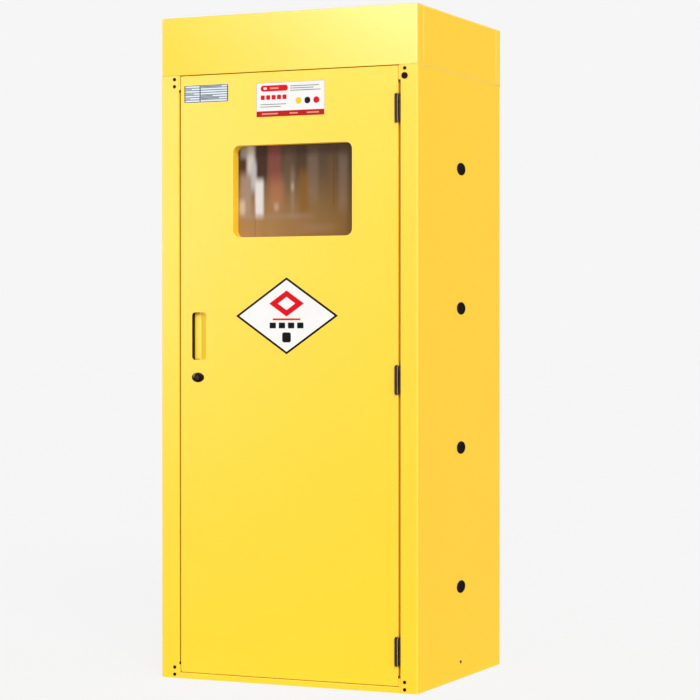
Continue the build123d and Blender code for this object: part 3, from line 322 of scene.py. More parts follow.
def settled_dust():
    """Mask of the dust that lies on what faces up."""
    group, takes, gives = effect("Settled Dust", ["Mask"], Cover=0.3)
    up = faded(split(faced(group))["Z"], 0.6, 0.98)
    spread = faded(noise(takes["Place"], 55.0, 6.0, 0.7), 0.35, 0.75, curve="LINEAR")
    joined(times(times(up, spread), takes["Cover"], clamp=True), gives["Mask"])
    return group


def metal_grain():
    """Drawn or rolled grain: streaks along z, for sheet and bar."""
    group, takes, gives = effect("Metal Grain", ("Streaks", "Blotches"), Fineness=900.0, Stretch=0.02)
    place = takes["Place"]
    squeezed = node(group, "CombineXYZ", {"X": 1.0, "Y": 1.0, "Z": takes["Stretch"]}).outputs[0]
    along = node(group, "VectorMath", {0: place, 1: squeezed}, operation="MULTIPLY").outputs[0]
    joined(noise(along, takes["Fineness"], 3.0, 0.6), gives["Streaks"])
    joined(noise(place, 24.0, 5.0, 0.6), gives["Blotches"])
    return group


def soft_streak():
    """Mask of one blurred upright bar of the window's painted reflection of the room."""
    group, takes, gives = effect(
        "Soft Streak", ["Mask"], Middle_X=0.0, Half_Width=0.01, Middle_Z=1.4, Half_Height=0.1, Blur=0.008,
        Fade=0.03
    )
    parts = split(takes["Place"])
    shares = []
    for axis, half, soft in (("X", "Half Width", "Blur"), ("Z", "Half Height", "Fade")):
        off = apart(parts[axis], takes["Middle " + axis])
        reach = times(takes[soft], 0.5)
        shares.append(faded(off, minus(takes[half], reach), plus(takes[half], reach), 1.0, 0.0))
    joined(times(*shares), gives["Mask"])
    return group


EFFECTS = {}


def placed(maker, place, **feeds):
    """One of the shared effects, built the first time that it is used."""
    if maker not in EFFECTS:
        EFFECTS[maker] = maker()
    made = node(place.id_data, "Group", node_tree=EFFECTS[maker])
    feed(made, Place=place, **feeds)
    return made.outputs


# ---- Finishes ----

# What lies on the finishes or shows where they are worn, and tones of painted shade and of a painted
# highlight
DUST_ON_PAINT = (0.55, 0.50, 0.42)
DUST_ON_ZINC = (0.45, 0.43, 0.40)
DUST_ON_BLACK = (0.30, 0.28, 0.25)
GAP_SHADE = (0.24, 0.17, 0.02)
HOLLOW_SHADE = (0.035, 0.022, 0.008)
ZINC_BLOTCH = (0.38, 0.39, 0.40)
WORN_ZINC = (0.78, 0.79, 0.80)
WORN_PLATING = (0.85, 0.85, 0.86)
WORN_BLACK = (0.20, 0.16, 0.14)
WORN_RUBBER = (0.12, 0.12, 0.12)
HINGE_HIGHLIGHT = (0.30, 0.235, 0.22)


def cleared(owner):
    """The empty node tree of a material or world."""
    owner.use_nodes = True
    owner.node_tree.nodes.clear()
    return owner.node_tree


def started(name):
    """A new material and the place on the piece."""
    material = bpy.data.materials.new(name)
    return material, node(cleared(material), "TexCoord").outputs["Object"]


def finished(material, **sockets):
    """The material with its shader, whose inputs are named with _ for each space."""
    shader = node(material.node_tree, "BsdfPrincipled")
    feed(shader, **sockets)
    node(material.node_tree, "OutputMaterial", {"Surface": shader.outputs["BSDF"]})
    return material


def coated(place, tone, **values):
    return placed(coat_skin, place, Paint=(*tone, 1), **values)


def bumped(height, distance, strength, rounding=0.0):
    """Surface normal with small bumps, over edges that are rounded a little."""
    feeds = {"Height": height, "Distance": distance, "Strength": strength}
    if rounding:
        feeds["Normal"] = rounded(height.id_data, rounding)
    return node(height.id_data, "Bump", feeds).outputs["Normal"]


def painted_hollow_shade(place, hollow):
    """Mask of painted shade in a hollow: behind its left lip, and thinly along both ends."""
    lip, bottom, top = hollow
    parts = split(place)
    behind = faded(parts["X"], lip - 0.001, lip + 0.003, 1.0, 0.0)
    middle, half = (bottom + top) / 2, (top - bottom) / 2
    at_ends = faded(apart(parts["Z"], middle), half - 0.0065, half - 0.0025, 0.0, 0.45)
    near_lip = faded(parts["X"], lip + 0.015, lip + 0.020, 1.0, 0.0)
    return maths("MAXIMUM", behind, times(at_ends, near_lip))


def powder_coat(name, paint_colour, dust=0.25, hollow=None):
    """Satin powder coat on sheet steel, with pale edges that are partly worn and partly a painted highlight,
    painted shade beside the door, and painted shade in a hollow whose left lip, bottom and top are given.
    """
    paint = bpy.context.scene.cabinet_paint
    material, place = started(name)
    grain = {"Cloud Size": paint.cloud, "Peel Size": paint.peel}
    skin = coated(place, paint_colour, Roughness=paint.roughness, **grain)
    rub = placed(patchy_edges, place, Width=0.0055, Cover=0.9)["Mask"]
    dirt = placed(settled_dust, place, Cover=dust)["Mask"]
    parts = split(place)
    # Outer corners turn pale, partly worn edges and partly a painted highlight, most of all high up, but
    # hardly the door's rim and the hood's foot
    outward = faded(maths("ABSOLUTE", parts["X"]), SIDE - 0.010, SIDE - 0.007, 0.12, 1.0)
    upward = faded(parts["Z"], 0.1, 1.5, 0.6, 1.1)
    off_seam = faded(apart(parts["Z"], HOOD_FOOT), 0.004, 0.012, 0.3, 1.0)
    share = times(times(outward, upward), off_seam)
    tone = blended(times(rub, share, clamp=True), skin["Color"], paint.worn_edge_and_highlight)
    # Painted shade down in the gaps beside the door, most of all in the left one
    in_left = faded(apart(parts["X"], DOOR_LOW.x), 0.007, 0.009, 0.36, 0.0)
    in_right = faded(apart(parts["X"], DOOR_HIGH.x), 0.007, 0.009, 0.12, 0.0)
    deep = faded(parts["Y"], FRONT + 0.002, FRONT + 0.006)
    tone = blended(times(plus(in_left, in_right), deep), tone, GAP_SHADE)
    tone = blended(dirt, tone, DUST_ON_PAINT)
    # Painted shade in the pull's hollow, dark behind its left lip and thin along its ends
    if hollow:
        tone = blended(painted_hollow_shade(place, hollow), tone, HOLLOW_SHADE)
    return finished(
        material, Base_Color=tone, Roughness=plus(skin["Roughness"], times(dirt, 0.3), clamp=True),
        Specular_IOR_Level=0.07, Normal=bumped(skin["Height"], paint.peel_depth, 0.55, paint.rounding)
    )


def galvanised_steel():
    """Zinc-dipped sheet with the spangle of its crystals."""
    material, place = started("galvanised_steel")
    tree = material.node_tree
    spangle = node(tree, "TexVoronoi", {"Vector": place, "Scale": 90.0})
    flake = node(tree, "SeparateColor", {0: spangle.outputs["Color"]}).outputs["Red"]
    blotches = placed(metal_grain, place)["Blotches"]
    rub = placed(patchy_edges, place, Width=0.0015, Cover=0.7)["Mask"]
    dirt = placed(settled_dust, place, Cover=0.15)["Mask"]
    tone = blended(flake, (0.42, 0.44, 0.46), (0.62, 0.64, 0.66))
    tone = blended(times(blotches, 0.35), tone, ZINC_BLOTCH)
    tone = blended(times(rub, 0.5), tone, WORN_ZINC)
    return finished(
        material, Base_Color=blended(dirt, tone, DUST_ON_ZINC), Metallic=0.85,
        Roughness=plus(times(flake, 0.14), plus(times(blotches, 0.2), 0.25)),
        Normal=bumped(flake, 0.00003, 0.4, 0.0008)
    )


def plated_steel(name, tone_low, tone_high, roughness, worn=0.6):
    """Turned or drawn steel under a thin plating, worn bright on its edges."""
    material, place = started(name)
    grain = placed(metal_grain, place, Fineness=1400.0, Stretch=0.05)
    rub = placed(patchy_edges, place, Width=0.0006, Cover=0.8)["Mask"]
    tone = blended(grain["Blotches"], tone_low, tone_high)
    return finished(
        material, Base_Color=blended(times(rub, worn), tone, WORN_PLATING), Metallic=1.0,
        Roughness=plus(times(plus(grain["Streaks"], grain["Blotches"]), 0.09), roughness),
        Normal=bumped(grain["Streaks"], 0.00001, 0.35, 0.0003)
    )


def black_coat(name, coat, roughness, mirror, crown=None, worn=0.5):
    """Black coat on steel, worn on its edges and, if given, with a painted highlight in a band from crown's
    first x to its second.
    """
    material, place = started(name)
    grain = {"Clouding": 0.4, "Cloud Size": 0.02, "Peel Size": 0.0009, "Uneven Gloss": 0.12}
    skin = coated(place, coat, Roughness=roughness, **grain)
    rub = placed(patchy_edges, place, Width=0.0006, Patch_Size=0.012, Cover=0.7)["Mask"]
    bare = times(rub, worn)
    tone = blended(bare, skin["Color"], WORN_BLACK)
    if crown:
        start, end = crown
        along = split(place)["X"]
        band = times(faded(along, start, start + 0.0006), faded(along, end - 0.0004, end, 1.0, 0.0))
        tone = blended(band, tone, HINGE_HIGHLIGHT)
    return finished(
        material, Base_Color=tone, Metallic=bare, Roughness=skin["Roughness"], Specular_IOR_Level=mirror,
        Normal=bumped(skin["Height"], 0.00003, 0.5, 0.0005)
    )


def soft_black(name, tone_value, roughness, peel, dust, mirror=0.5):
    """Rubber or moulded plastic: fine grain and a film of dust."""
    material, place = started(name)
    grain = {"Clouding": 0.35, "Cloud Size": 0.03, "Peel Size": peel, "Uneven Gloss": 0.2}
    skin = coated(place, tone_value, Roughness=roughness, **grain)
    rub = placed(patchy_edges, place, Width=0.0008, Patch_Size=0.02, Cover=0.5)["Mask"]
    dirt = placed(settled_dust, place, Cover=dust)["Mask"]
    return finished(
        material,
        Base_Color=blended(dirt, blended(times(rub, 0.25), skin["Color"], WORN_RUBBER), DUST_ON_BLACK),
        Roughness=skin["Roughness"], Specular_IOR_Level=mirror,
        Normal=bumped(skin["Height"], 0.00005, 0.5, 0.0004)
    )


# Tones of the painted reflection of a blurred room on the window
WHITE = (0.84, 0.79, 0.77)
HAZE = (0.54, 0.53, 0.56)
CREAM = (0.72, 0.58, 0.44)
DUSK = (0.43, 0.30, 0.235)
RUST = (0.48, 0.19, 0.085)
MAROON = (0.25, 0.065, 0.052)
AMBER = (0.26, 0.11, 0.008)
BROWN = (0.16, 0.10, 0.06)
DARK = (0.060, 0.022, 0.010)

# Its upright bars: a value for each of these inputs of the streak, then strength and tone
STREAK_INPUTS = ("Middle X", "Half Width", "Middle Z", "Half Height", "Blur", "Fade")
PAINTED_REFLECTION_STREAKS = (
    (-0.150, 0.018, 1.462, 0.040, 0.020, 0.05, 0.65, DARK),
    (-0.147, 0.018, 1.388, 0.060, 0.020, 0.04, 0.85, DUSK),
    (-0.095, 0.018, 1.480, 0.050, 0.014, 0.04, 0.95, DARK),
    (-0.152, 0.011, 1.514, 0.018, 0.014, 0.03, 0.75, HAZE),
    (-0.130, 0.012, 1.490, 0.044, 0.016, 0.04, 0.80, WHITE),
    (-0.121, 0.009, 1.440, 0.040, 0.013, 0.04, 0.90, HAZE),
    (-0.103, 0.013, 1.378, 0.052, 0.012, 0.03, 1.00, WHITE),
    (-0.157, 0.009, 1.352, 0.020, 0.012, 0.03, 0.85, CREAM),
    (-0.1165, 0.0007, 1.310, 0.048, 0.003, 0.02, 0.55, DARK),
    (-0.055, 0.019, 1.475, 0.075, 0.018, 0.07, 0.90, MAROON),
    (-0.050, 0.022, 1.385, 0.045, 0.028, 0.06, 0.70, RUST),
    (-0.049, 0.007, 1.352, 0.010, 0.014, 0.02, 0.45, CREAM),
    (-0.012, 0.013, 1.475, 0.050, 0.014, 0.06, 0.30, BROWN),
    (0.002, 0.006, 1.395, 0.060, 0.012, 0.06, 0.35, DUSK),
    (0.002, 0.004, 1.408, 0.010, 0.010, 0.02, 0.45, CREAM),
    (0.030, 0.016, 1.485, 0.045, 0.014, 0.06, 0.50, DARK),
    (0.038, 0.014, 1.390, 0.060, 0.016, 0.06, 0.70, AMBER),
    (0.066, 0.016, 1.440, 0.070, 0.020, 0.06, 0.20, DUSK),
    (0.122, 0.009, 1.410, 0.085, 0.018, 0.05, 0.25, AMBER),
    (0.130, 0.0015, 1.430, 0.080, 0.004, 0.03, 0.40, DARK),
    (0.160, 0.014, 1.420, 0.080, 0.016, 0.06, 0.20, DUSK),
    (0.080, 0.050, 1.290, 0.010, 0.060, 0.02, 0.18, DUSK),
    (-0.050, 0.110, 1.325, 0.006, 0.060, 0.02, 0.30, DUSK),
)


def window_pane():
    """Tinted glass with a painted reflection of a blurred room: brown-grey above, golden brown below, pale
    bars on its left.
    """
    material, place = started("window_pane")
    parts = split(place)
    stretched = {"X": parts["X"], "Z": times(parts["Z"], 0.06)}
    columns = node(material.node_tree, "CombineXYZ", stretched).outputs[0]
    east = faded(parts["X"], -0.16, 0.17, curve="LINEAR")
    lower = blended(east, (0.50, 0.28, 0.105), (0.25, 0.13, 0.035))
    tone = blended(faded(parts["Z"], 1.28, 1.50), lower, (0.092, 0.056, 0.036))
    tone = blended(times(noise(columns, 42.0, 3.0), 0.25), tone, (0.17, 0.09, 0.030))
    for *values, strength, bar in PAINTED_REFLECTION_STREAKS:
        mask = placed(soft_streak, place, **dict(zip(STREAK_INPUTS, values)))["Mask"]
        tone = blended(times(mask, strength), tone, bar)
    # The pane's inner face gets a plain tint, without the painted reflection
    low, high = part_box("window_glass")
    inner = maths("GREATER_THAN", parts["Y"], (low.y + high.y) / 2)
    return finished(
        material, Base_Color=blended(inner, tone, (0.20, 0.14, 0.08)),
        Roughness=plus(times(noise(place, 30.0, 4.0), 0.06), 0.03), IOR=1.5, Specular_IOR_Level=0.1,
        Transmission_Weight=0.2, Normal=bumped(noise(place, 9.0, 1.0), 0.0004, 0.15)
    )


def printed(name, tone_value):
    """Ink or film of a stuck-on plate: faint mottle, fine texture."""
    material, place = started(name)
    grain = {"Clouding": 0.08, "Cloud Size": 0.03, "Peel Size": 0.0007, "Uneven Gloss": 0.10}
    skin = coated(place, tone_value, Roughness=0.55, **grain)
    return finished(
        material, Base_Color=skin["Color"], Roughness=skin["Roughness"], Specular_IOR_Level=0.005,
        Normal=bumped(skin["Height"], 0.00001, 0.3)
    )


# ---- Shapes ----


def shape_verts(made):
    return [v for v in made["geom"] if isinstance(v, bmesh.types.BMVert)]


def shape_edges(made):
    return [e for e in made["geom"] if isinstance(e, bmesh.types.BMEdge)]


def slab(bm, middle, size, low, high, material, corner=0.0, lozenge=False):
    """A flat slab facing +z, from height low to high: a rectangle or a lozenge, with round corners."""
    if lozenge:
        verts = bmesh.ops.create_circle(bm, cap_ends=True, segments=4, radius=0.5)["verts"]
    else:
        verts = bmesh.ops.create_grid(bm, x_segments=1, y_segments=1, size=0.5)["verts"]
    bmesh.ops.scale(bm, vec=(size[0], size[1], 1), verts=verts)
    face = verts[0].link_faces[0]
    if corner:
        rounding = {"offset": corner, "segments": 5, "profile": 0.5, "affect": "VERTICES", "material": -1}
        made = bmesh.ops.bevel(bm, geom=verts, offset_type="OFFSET", **rounding)
        verts = list({v for f in made["faces"] for v in f.verts} | set(made["verts"]))
        face = max((f for v in verts for f in v.link_faces), key=lambda f: f.calc_area())
        verts = list(face.verts)
    bmesh.ops.translate(bm, vec=(middle[0], middle[1], low), verts=verts)
    made = bmesh.ops.extrude_face_region(bm, geom=[face], use_keep_orig=True)
    top = shape_verts(made)
    bmesh.ops.translate(bm, vec=(0, 0, high - low), verts=top)
    for near in {f for v in (*verts, *top) for f in v.link_faces}:
        near.material_index = material


def ringed(bm, rings, segments):
    """A skin through ovals of half width, half height and rise, and its first and its last loop of edges."""
    made = bmesh.ops.create_circle(bm, cap_ends=False, segments=segments, radius=1)
    verts = made["verts"]
    edges = list({e for v in verts for e in v.link_edges})
    last = (1.0, 1.0, 0.0)
    for number, ring in enumerate(rings):
        if number:
            grown = bmesh.ops.extrude_edge_only(bm, edges=edges)
            verts, edges = shape_verts(grown), shape_edges(grown)
        bmesh.ops.scale(bm, vec=(ring[0] / last[0], ring[1] / last[1], 1), verts=verts)
        bmesh.ops.translate(bm, vec=(0, 0, ring[2] - last[2]), verts=verts)
        if number == 0:
            first = list(edges)
        last = ring
    return first, edges


def set_on(bm, facing, x, y, z):
    """Turns a shape that is drawn flat to its face of the cabinet and moves it to its place."""
    bmesh.ops.transform(bm, matrix=Matrix.Translation((x, y, z)) @ facing, verts=bm.verts)


def mesh_of(bm, name, materials=()):
    mesh = bpy.data.meshes.new(name)
    bm.to_mesh(mesh)
    bm.free()
    for material in materials:
        mesh.materials.append(material)
    return mesh


def gathered(whole, bm):
    """Adds a shape to the mesh that holds all of its kind."""
    spare = mesh_of(bm, "spare")
    whole.from_mesh(spare)
    bpy.data.meshes.remove(spare)


def linked(name, data):
    """A new object in the scene."""
    made = bpy.data.objects.new(name, data)
    bpy.context.scene.collection.objects.link(made)
    return made


def cross_screw(rings, sides, arm, slot, depth):
    """A screw through rings, with a cross recess: how far its arms reach, their width and their depth."""
    bm = bmesh.new()
    shank, crown = ringed(bm, rings, sides)
    bmesh.ops.contextual_create(bm, geom=shank)
    cross = bmesh.ops.create_grid(bm, x_segments=3, y_segments=3, size=1.0)["verts"]
    for vert in cross:
        for axis in range(2):
            vert.co[axis] = math.copysign(arm if abs(vert.co[axis]) > 0.5 else slot / 2, vert.co[axis])
        vert.co.z = rings[-1][2]
    faces = {f for v in cross for f in v.link_faces}
    arms = [f for f in faces if min(abs(c) for c in f.calc_center_median().xy) < 1e-6]
    bmesh.ops.delete(bm, geom=[f for f in faces if f not in arms], context="FACES")
    rim = list({e for f in arms for e in f.edges if len(e.link_faces) == 1})
    sunk = bmesh.ops.extrude_face_region(bm, geom=arms)
    bmesh.ops.delete(bm, geom=[f for f in arms if f.is_valid], context="FACES_ONLY")
    bmesh.ops.translate(bm, vec=(0, 0, -depth), verts=shape_verts(sunk))
    bmesh.ops.bridge_loops(bm, edges=crown + [e for e in rim if e.is_valid])
    return bm


def piece(bm, name, body, materials, replaced=(), sharp=35.0):
    """The finished piece: mesh, materials, shading, and the body that it rides on."""
    bmesh.ops.recalc_face_normals(bm, faces=bm.faces)
    mesh = mesh_of(bm, name, materials)
    mesh.shade_smooth()
    mesh.set_sharp_from_angle(angle=math.radians(sharp))
    made = linked(name, mesh)
    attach(made, body)
    if replaced:
        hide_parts(*replaced)


def door_plate(bm, name, x, z, inks):
    """A stuck-on plate, set on the door at x and z, and with its inks in the order of their numbers."""
    set_on(bm, ON_FRONT, x, FRONT, z)
    piece(bm, name, "door", inks, sharp=30)


def dress(material, *names):
    for name in names:
        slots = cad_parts[name].data.materials
        slots.clear()
        slots.append(material)


# Pieces of the CAD by their finish
GALVANISED = (
    "side_wall_channels", "back_wall_channels", "door_stiffeners", "floor_plate", "lower_rail", "upper_rail",
    "lower_cradle", "upper_cradle", "bar_bracket", "bar_catch", "retaining_bar", "exhaust_duct",
)
ZINC_PLATED = (
    "hinge_frame_screws", "hinge_door_screws", "cradle_bolts", "bar_pin", "retainer_screws", "lock_nut",
    "lock_cam", "cam_screw",
)
YELLOW_OUTSIDE = (
    "left_side_panel", "right_side_panel", "back_panel", "base_pan", "bottom_rail", "top_rail", "roof_panel",
    "corner_gussets", "hood_front", "hood_left", "hood_right", "hood_back", "hood_lid", "door_skin",
    "door_inner_panel", "window_reveal", "window_retainer",
)
YELLOW_INSIDE = ("left_liner", "right_liner", "back_liner", "roof_liner", "sump_pan", "vent_grille")


# ---- Operators ----


def switched(tree, kind, share, first, second):
    """Ends a tree with the first shader, and with the second one by its share."""
    both = node(tree, "MixShader", {0: share, 1: first.outputs[0], 2: second.outputs[0]})
    node(tree, kind, {"Surface": both.outputs[0]})


def soft_panel(name, size, power, place, aim, left_out=(), roll=0.0):
    """An area lamp that only gloss and glass mirror, but not bare metal, the lid and the pieces left out."""
    panel = bpy.data.lights.new(name, "AREA")
    panel.shape = "RECTANGLE"
    panel.size, panel.size_y = size
    panel.energy = power
    lamp = linked(name, panel)
    lamp.location = place
    facing = (Vector(aim) - lamp.location).to_track_quat("-Z", "Y")
    lamp.rotation_euler = (facing @ Quaternion((0, 0, 1), roll)).to_euler()
    lamp.visible_diffuse = False
    dull = bpy.data.collections.new(name + "_left_out")
    for dull_name in dict.fromkeys((*GALVANISED, *ZINC_PLATED, "hood_lid", *left_out)):
        dull.objects.link(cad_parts[dull_name])
    for entry in dull.collection_objects:
        entry.light_linking.link_state = "EXCLUDE"
    lamp.light_linking.receiver_collection = dull


class CABINET_OT_stage(bpy.types.Operator):
    """Set up the camera, the pale floor and the soft lamps"""

    bl_idname = "cabinet.stage"
    bl_label = "Stage"

    def execute(self, context):
        scene = context.scene
        stage = scene.cabinet_stage
        scene.view_settings.view_transform = "Standard"
        lens = bpy.data.cameras.new("camera")
        lens.lens = stage.lens
        lens.sensor_width = 36
        lens.clip_end = 200
        camera = linked("camera", lens)
        camera.location = stage.eye
        camera.rotation_euler = (math.pi / 2 - stage.tilt, 0, stage.turn)
        scene.camera = camera

        # The floor hardly darkens in shadow, where the camera sees it
        material = bpy.data.materials.new("pale_floor")
        tree = cleared(material)
        matte = node(tree, "BsdfDiffuse", {"Color": (*stage.ground, 1)})
        lit = node(tree, "Emission", {"Color": (*stage.ground, 1), "Strength": 1.006})
        seen = times(node(tree, "LightPath").outputs["Is Camera Ray"], stage.ground_hold)
        switched(tree, "OutputMaterial", seen, matte, lit)
        bm = bmesh.new()
        bmesh.ops.create_grid(bm, x_segments=1, y_segments=1, size=80)
        floor = linked("studio_floor", mesh_of(bm, "studio_floor", [material]))

        world = bpy.data.worlds.new("studio")
        scene.world = world
        tree = cleared(world)
        rays = node(tree, "LightPath").outputs
        mirrored = maths("MAXIMUM", rays["Is Glossy Ray"], rays["Is Transmission Ray"])
        seen = maths("MAXIMUM", rays["Is Camera Ray"], mirrored)
        sky = node(tree, "Background", {"Color": (1, 1, 1, 1), "Strength": stage.sky})
        shown = node(tree, "Background", {"Color": (*stage.ground, 1)})
        switched(tree, "OutputWorld", seen, sky, shown)

        key = bpy.data.lights.new("key", "SUN")
        key.energy = stage.key
        key.angle = stage.key_spread
        linked("key", key).rotation_euler = (math.pi / 2 - stage.key_rise, 0, stage.key_side)

        # Panels that only gloss shows: for the hood, for the upper front, for the door's left and for edges
        over, middle = (-0.3, -2.6, 2.75), (0.5, FRONT, 1.95)
        beside, left = (-2.6, -3.3, 1.8), (-0.4, FRONT, 1.4)
        tilted = math.radians(-25)
        below = [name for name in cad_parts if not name.startswith("hood_")]
        lock = ("lock_housing", "lock_barrel")
        soft_panel("hood_panel", (1.3, 0.6), stage.sheen, over, middle, below, tilted)
        soft_panel("upper_panel", (1.3, 0.6), stage.upper_sheen, over, middle, lock, tilted)
        soft_panel("door_panel", (1.1, 2.0), stage.door_sheen, beside, left, ("hood_front", *lock))
        soft_panel("edge_strip", (1.3, 4.0), stage.strip, (4.2, -4.2, 1.6), (SIDE, FRONT, 1.2))
        return {"FINISHED"}


class CABINET_OT_powder_coat(bpy.types.Operator):
    """Give the sheet steel its yellow powder coat, outside and inside"""

    bl_idname = "cabinet.powder_coat"
    bl_label = "Powder Coat"

    def execute(self, context):
        paint = context.scene.cabinet_paint
        dress(powder_coat("yellow_coat", paint.outside), *YELLOW_OUTSIDE)
        dress(powder_coat("yellow_coat_inside", paint.inside, dust=0.3), *YELLOW_INSIDE)
        low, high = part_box("pull_cup")
        # The cup's hollow begins behind a lip on its left, and within a flange above and below
        flange, left_lip = 0.010, 0.0256
        hollow = (low.x + left_lip, low.z + flange, high.z - flange)
        # The pull cup's paint is paler than the outside paint: painted light that lifts the shade in its
        # recess
        dress(powder_coat("yellow_coat_pull", (1.0, 0.66, 0.04), hollow=hollow), "pull_cup")
        return {"FINISHED"}


class CABINET_OT_metal(bpy.types.Operator):
    """Finish the galvanised, plated and black-coated steel"""

    bl_idname = "cabinet.metal"
    bl_label = "Metal"

    def execute(self, context):
        fittings = context.scene.cabinet_fittings
        black = fittings.black
        dress(galvanised_steel(), *GALVANISED)
        # A painted highlight on the barrels, in a band to the right of their crown
        pins = sum(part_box("hinge_pins"), Vector()) / 2
        crown = (pins.x + 0.0033, pins.x + 0.0050)
        hinges = black_coat("black_hinges", fittings.hinge_black, 0.45, 0.025, crown)
        dress(hinges, "hinge_frame_leaves", "hinge_door_leaves", "hinge_pins")
        dress(black_coat("black_screws", black, 0.45, 0.005, worn=0.15), "frame_screws", "slotted_screw")
        dress(black_coat("black_bezel", black, 0.16, 0.035, worn=0.1), "lock_escutcheon")
        dress(plated_steel("zinc_plated", (0.42, 0.42, 0.40), (0.60, 0.60, 0.57), 0.28), *ZINC_PLATED)
        dress(plated_steel("dark_bronze", (0.06, 0.045, 0.03), (0.12, 0.09, 0.06), 0.35), "earth_screw")
        nickel = plated_steel("dark_nickel", (0.006, 0.004, 0.002), (0.016, 0.011, 0.007), 0.16, worn=0.015)
        dress(nickel, "lock_housing")
        core = plated_steel("lock_core", (0.030, 0.020, 0.014), (0.110, 0.080, 0.065), 0.22, worn=0.08)
        dress(core, "lock_barrel")
        return {"FINISHED"}


class CABINET_OT_rubber(bpy.types.Operator):
    """Finish the rubber seals, edging and plastic parts"""

    bl_idname = "cabinet.rubber"
    bl_label = "Rubber and Plastic"

    def execute(self, context):
        plastic = context.scene.cabinet_fittings.plastic
        seal = soft_black("seal_rubber", (0.020, 0.020, 0.020), 0.72, 0.0012, 0.35)
        dress(seal, "door_seal", "window_gasket", "cradle_trim")
        dress(soft_black("sleeve_plastic", (0.16, 0.16, 0.16), 0.5, 0.0015, 0.3), "port_sleeves")
        dress(soft_black("knob_plastic", plastic, 0.25, 0.002, 0.2), "bar_knob")
        return {"FINISHED"}


class CABINET_OT_window(bpy.types.Operator):
    """Finish the pane in the door"""

    bl_idname = "cabinet.window"
    bl_label = "Window"

    def execute(self, context):
        dress(window_pane(), "window_glass")
        return {"FINISHED"}


class CABINET_OT_pipe_plugs(bpy.types.Operator):
    """Make the oval plugs that close the pipe ports in both side walls"""

    bl_idname = "cabinet.pipe_plugs"
    bl_label = "Pipe Plugs"

    def execute(self, context):
        fittings = context.scene.cabinet_fittings
        low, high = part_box("port_plugs")
        middle_y = (low.y + high.y) / 2
        wide, tall, lip = fittings.plug_width / 2, fittings.plug_height / 2, fittings.plug_lip
        first, last, rows = low.z + tall, high.z - tall, 4
        throat_wide, throat_tall = wide - 0.004, tall - 0.003
        # The hollow stem: how far each ring lies inside the throat, and its rise
        stem = ((0.0025, -0.0004), (0.0025, -0.009), (0.0003, -0.009), (0.0003, 0.0))
        rings = [(throat_wide - inset, throat_tall - inset, rise) for inset, rise in stem]
        # The round rim: how far each ring lies inside the outline, and its rise as a share of the lip
        rim = ((0, 0), (0, 0.45), (0.0005, 0.80), (0.0014, 1), (0.0040, 1), (0.0052, 0.75), (0.0060, 0.35))
        rings += [(wide - inset, tall - inset, share * lip) for inset, share in rim]
        # The dish: shares of half width, half height and lip
        dish = ((0.55, 0.45, 0.25), (0.30, 0.25, 0.40), (0.10, 0.10, 0.48))
        rings += [(wide * across, tall * up, share * lip) for across, up, share in dish]
        plugs = bmesh.new()
        for facing, x in ((ON_RIGHT, SIDE), (ON_LEFT, -SIDE)):
            for row in range(rows):
                bm = bmesh.new()
                for loop in ringed(bm, rings, fittings.segments):
                    bmesh.ops.contextual_create(bm, geom=loop)
                set_on(bm, facing, x, middle_y, first + (last - first) * row / (rows - 1))
                gathered(plugs, bm)
        plastic = soft_black("plug_plastic", fittings.plastic, 0.5, 0.0012, 0.1, mirror=0.01)
        piece(plugs, "pipe_plugs", "cabinet", [plastic], ["port_plugs"], sharp=50)
        return {"FINISHED"}


class CABINET_OT_frame_screws(bpy.types.Operator):
    """Make the domed cross-recess screws in the corners of the front frame"""

    bl_idname = "cabinet.frame_screws"
    bl_label = "Frame Screws"

    def execute(self, context):
        fittings = context.scene.cabinet_fittings
        low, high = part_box("frame_screws")
        edge, gap, dome = fittings.screw_radius, fittings.screw_gap, fittings.screw_dome
        broad = sum(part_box("slotted_screw"), Vector()) / 2
        heights = (low.z + edge, low.z + edge + gap, high.z - edge - gap, high.z - edge)
        places = [(x, z) for x in (low.x + edge, high.x - edge) for z in heights]
        # The broad slotted screw has the place of the eighth
        places = [p for p in places if math.dist(p, (broad.x, broad.z)) > gap / 2]
        if len(places) != 7:
            raise RuntimeError("the front frame should have seven cross screws")
        shank_radius, shank_end, sides = 0.0024, -0.0055, 24
        rings = [(shank_radius, shank_radius, shank_end), (shank_radius, shank_radius, 0.0)]
        # The domed head: shares of its radius and its height
        head = ((1.0, 0.0), (1.0, 0.25), (0.93, 0.55), (0.80, 0.82), (0.66, 0.97), (0.60, 1.0))
        rings += [(edge * share, edge * share, rise * dome) for share, rise in head]
        screws = bmesh.new()
        for x, z in places:
            bm = cross_screw(rings, sides, fittings.screw_recess, fittings.screw_slot, fittings.screw_depth)
            set_on(bm, ON_FRONT, x, FRONT, z)
            gathered(screws, bm)
        black = bpy.data.materials["black_screws"]
        piece(screws, "cross_screws", "cabinet", [black], ["frame_screws"], sharp=40)
        return {"FINISHED"}


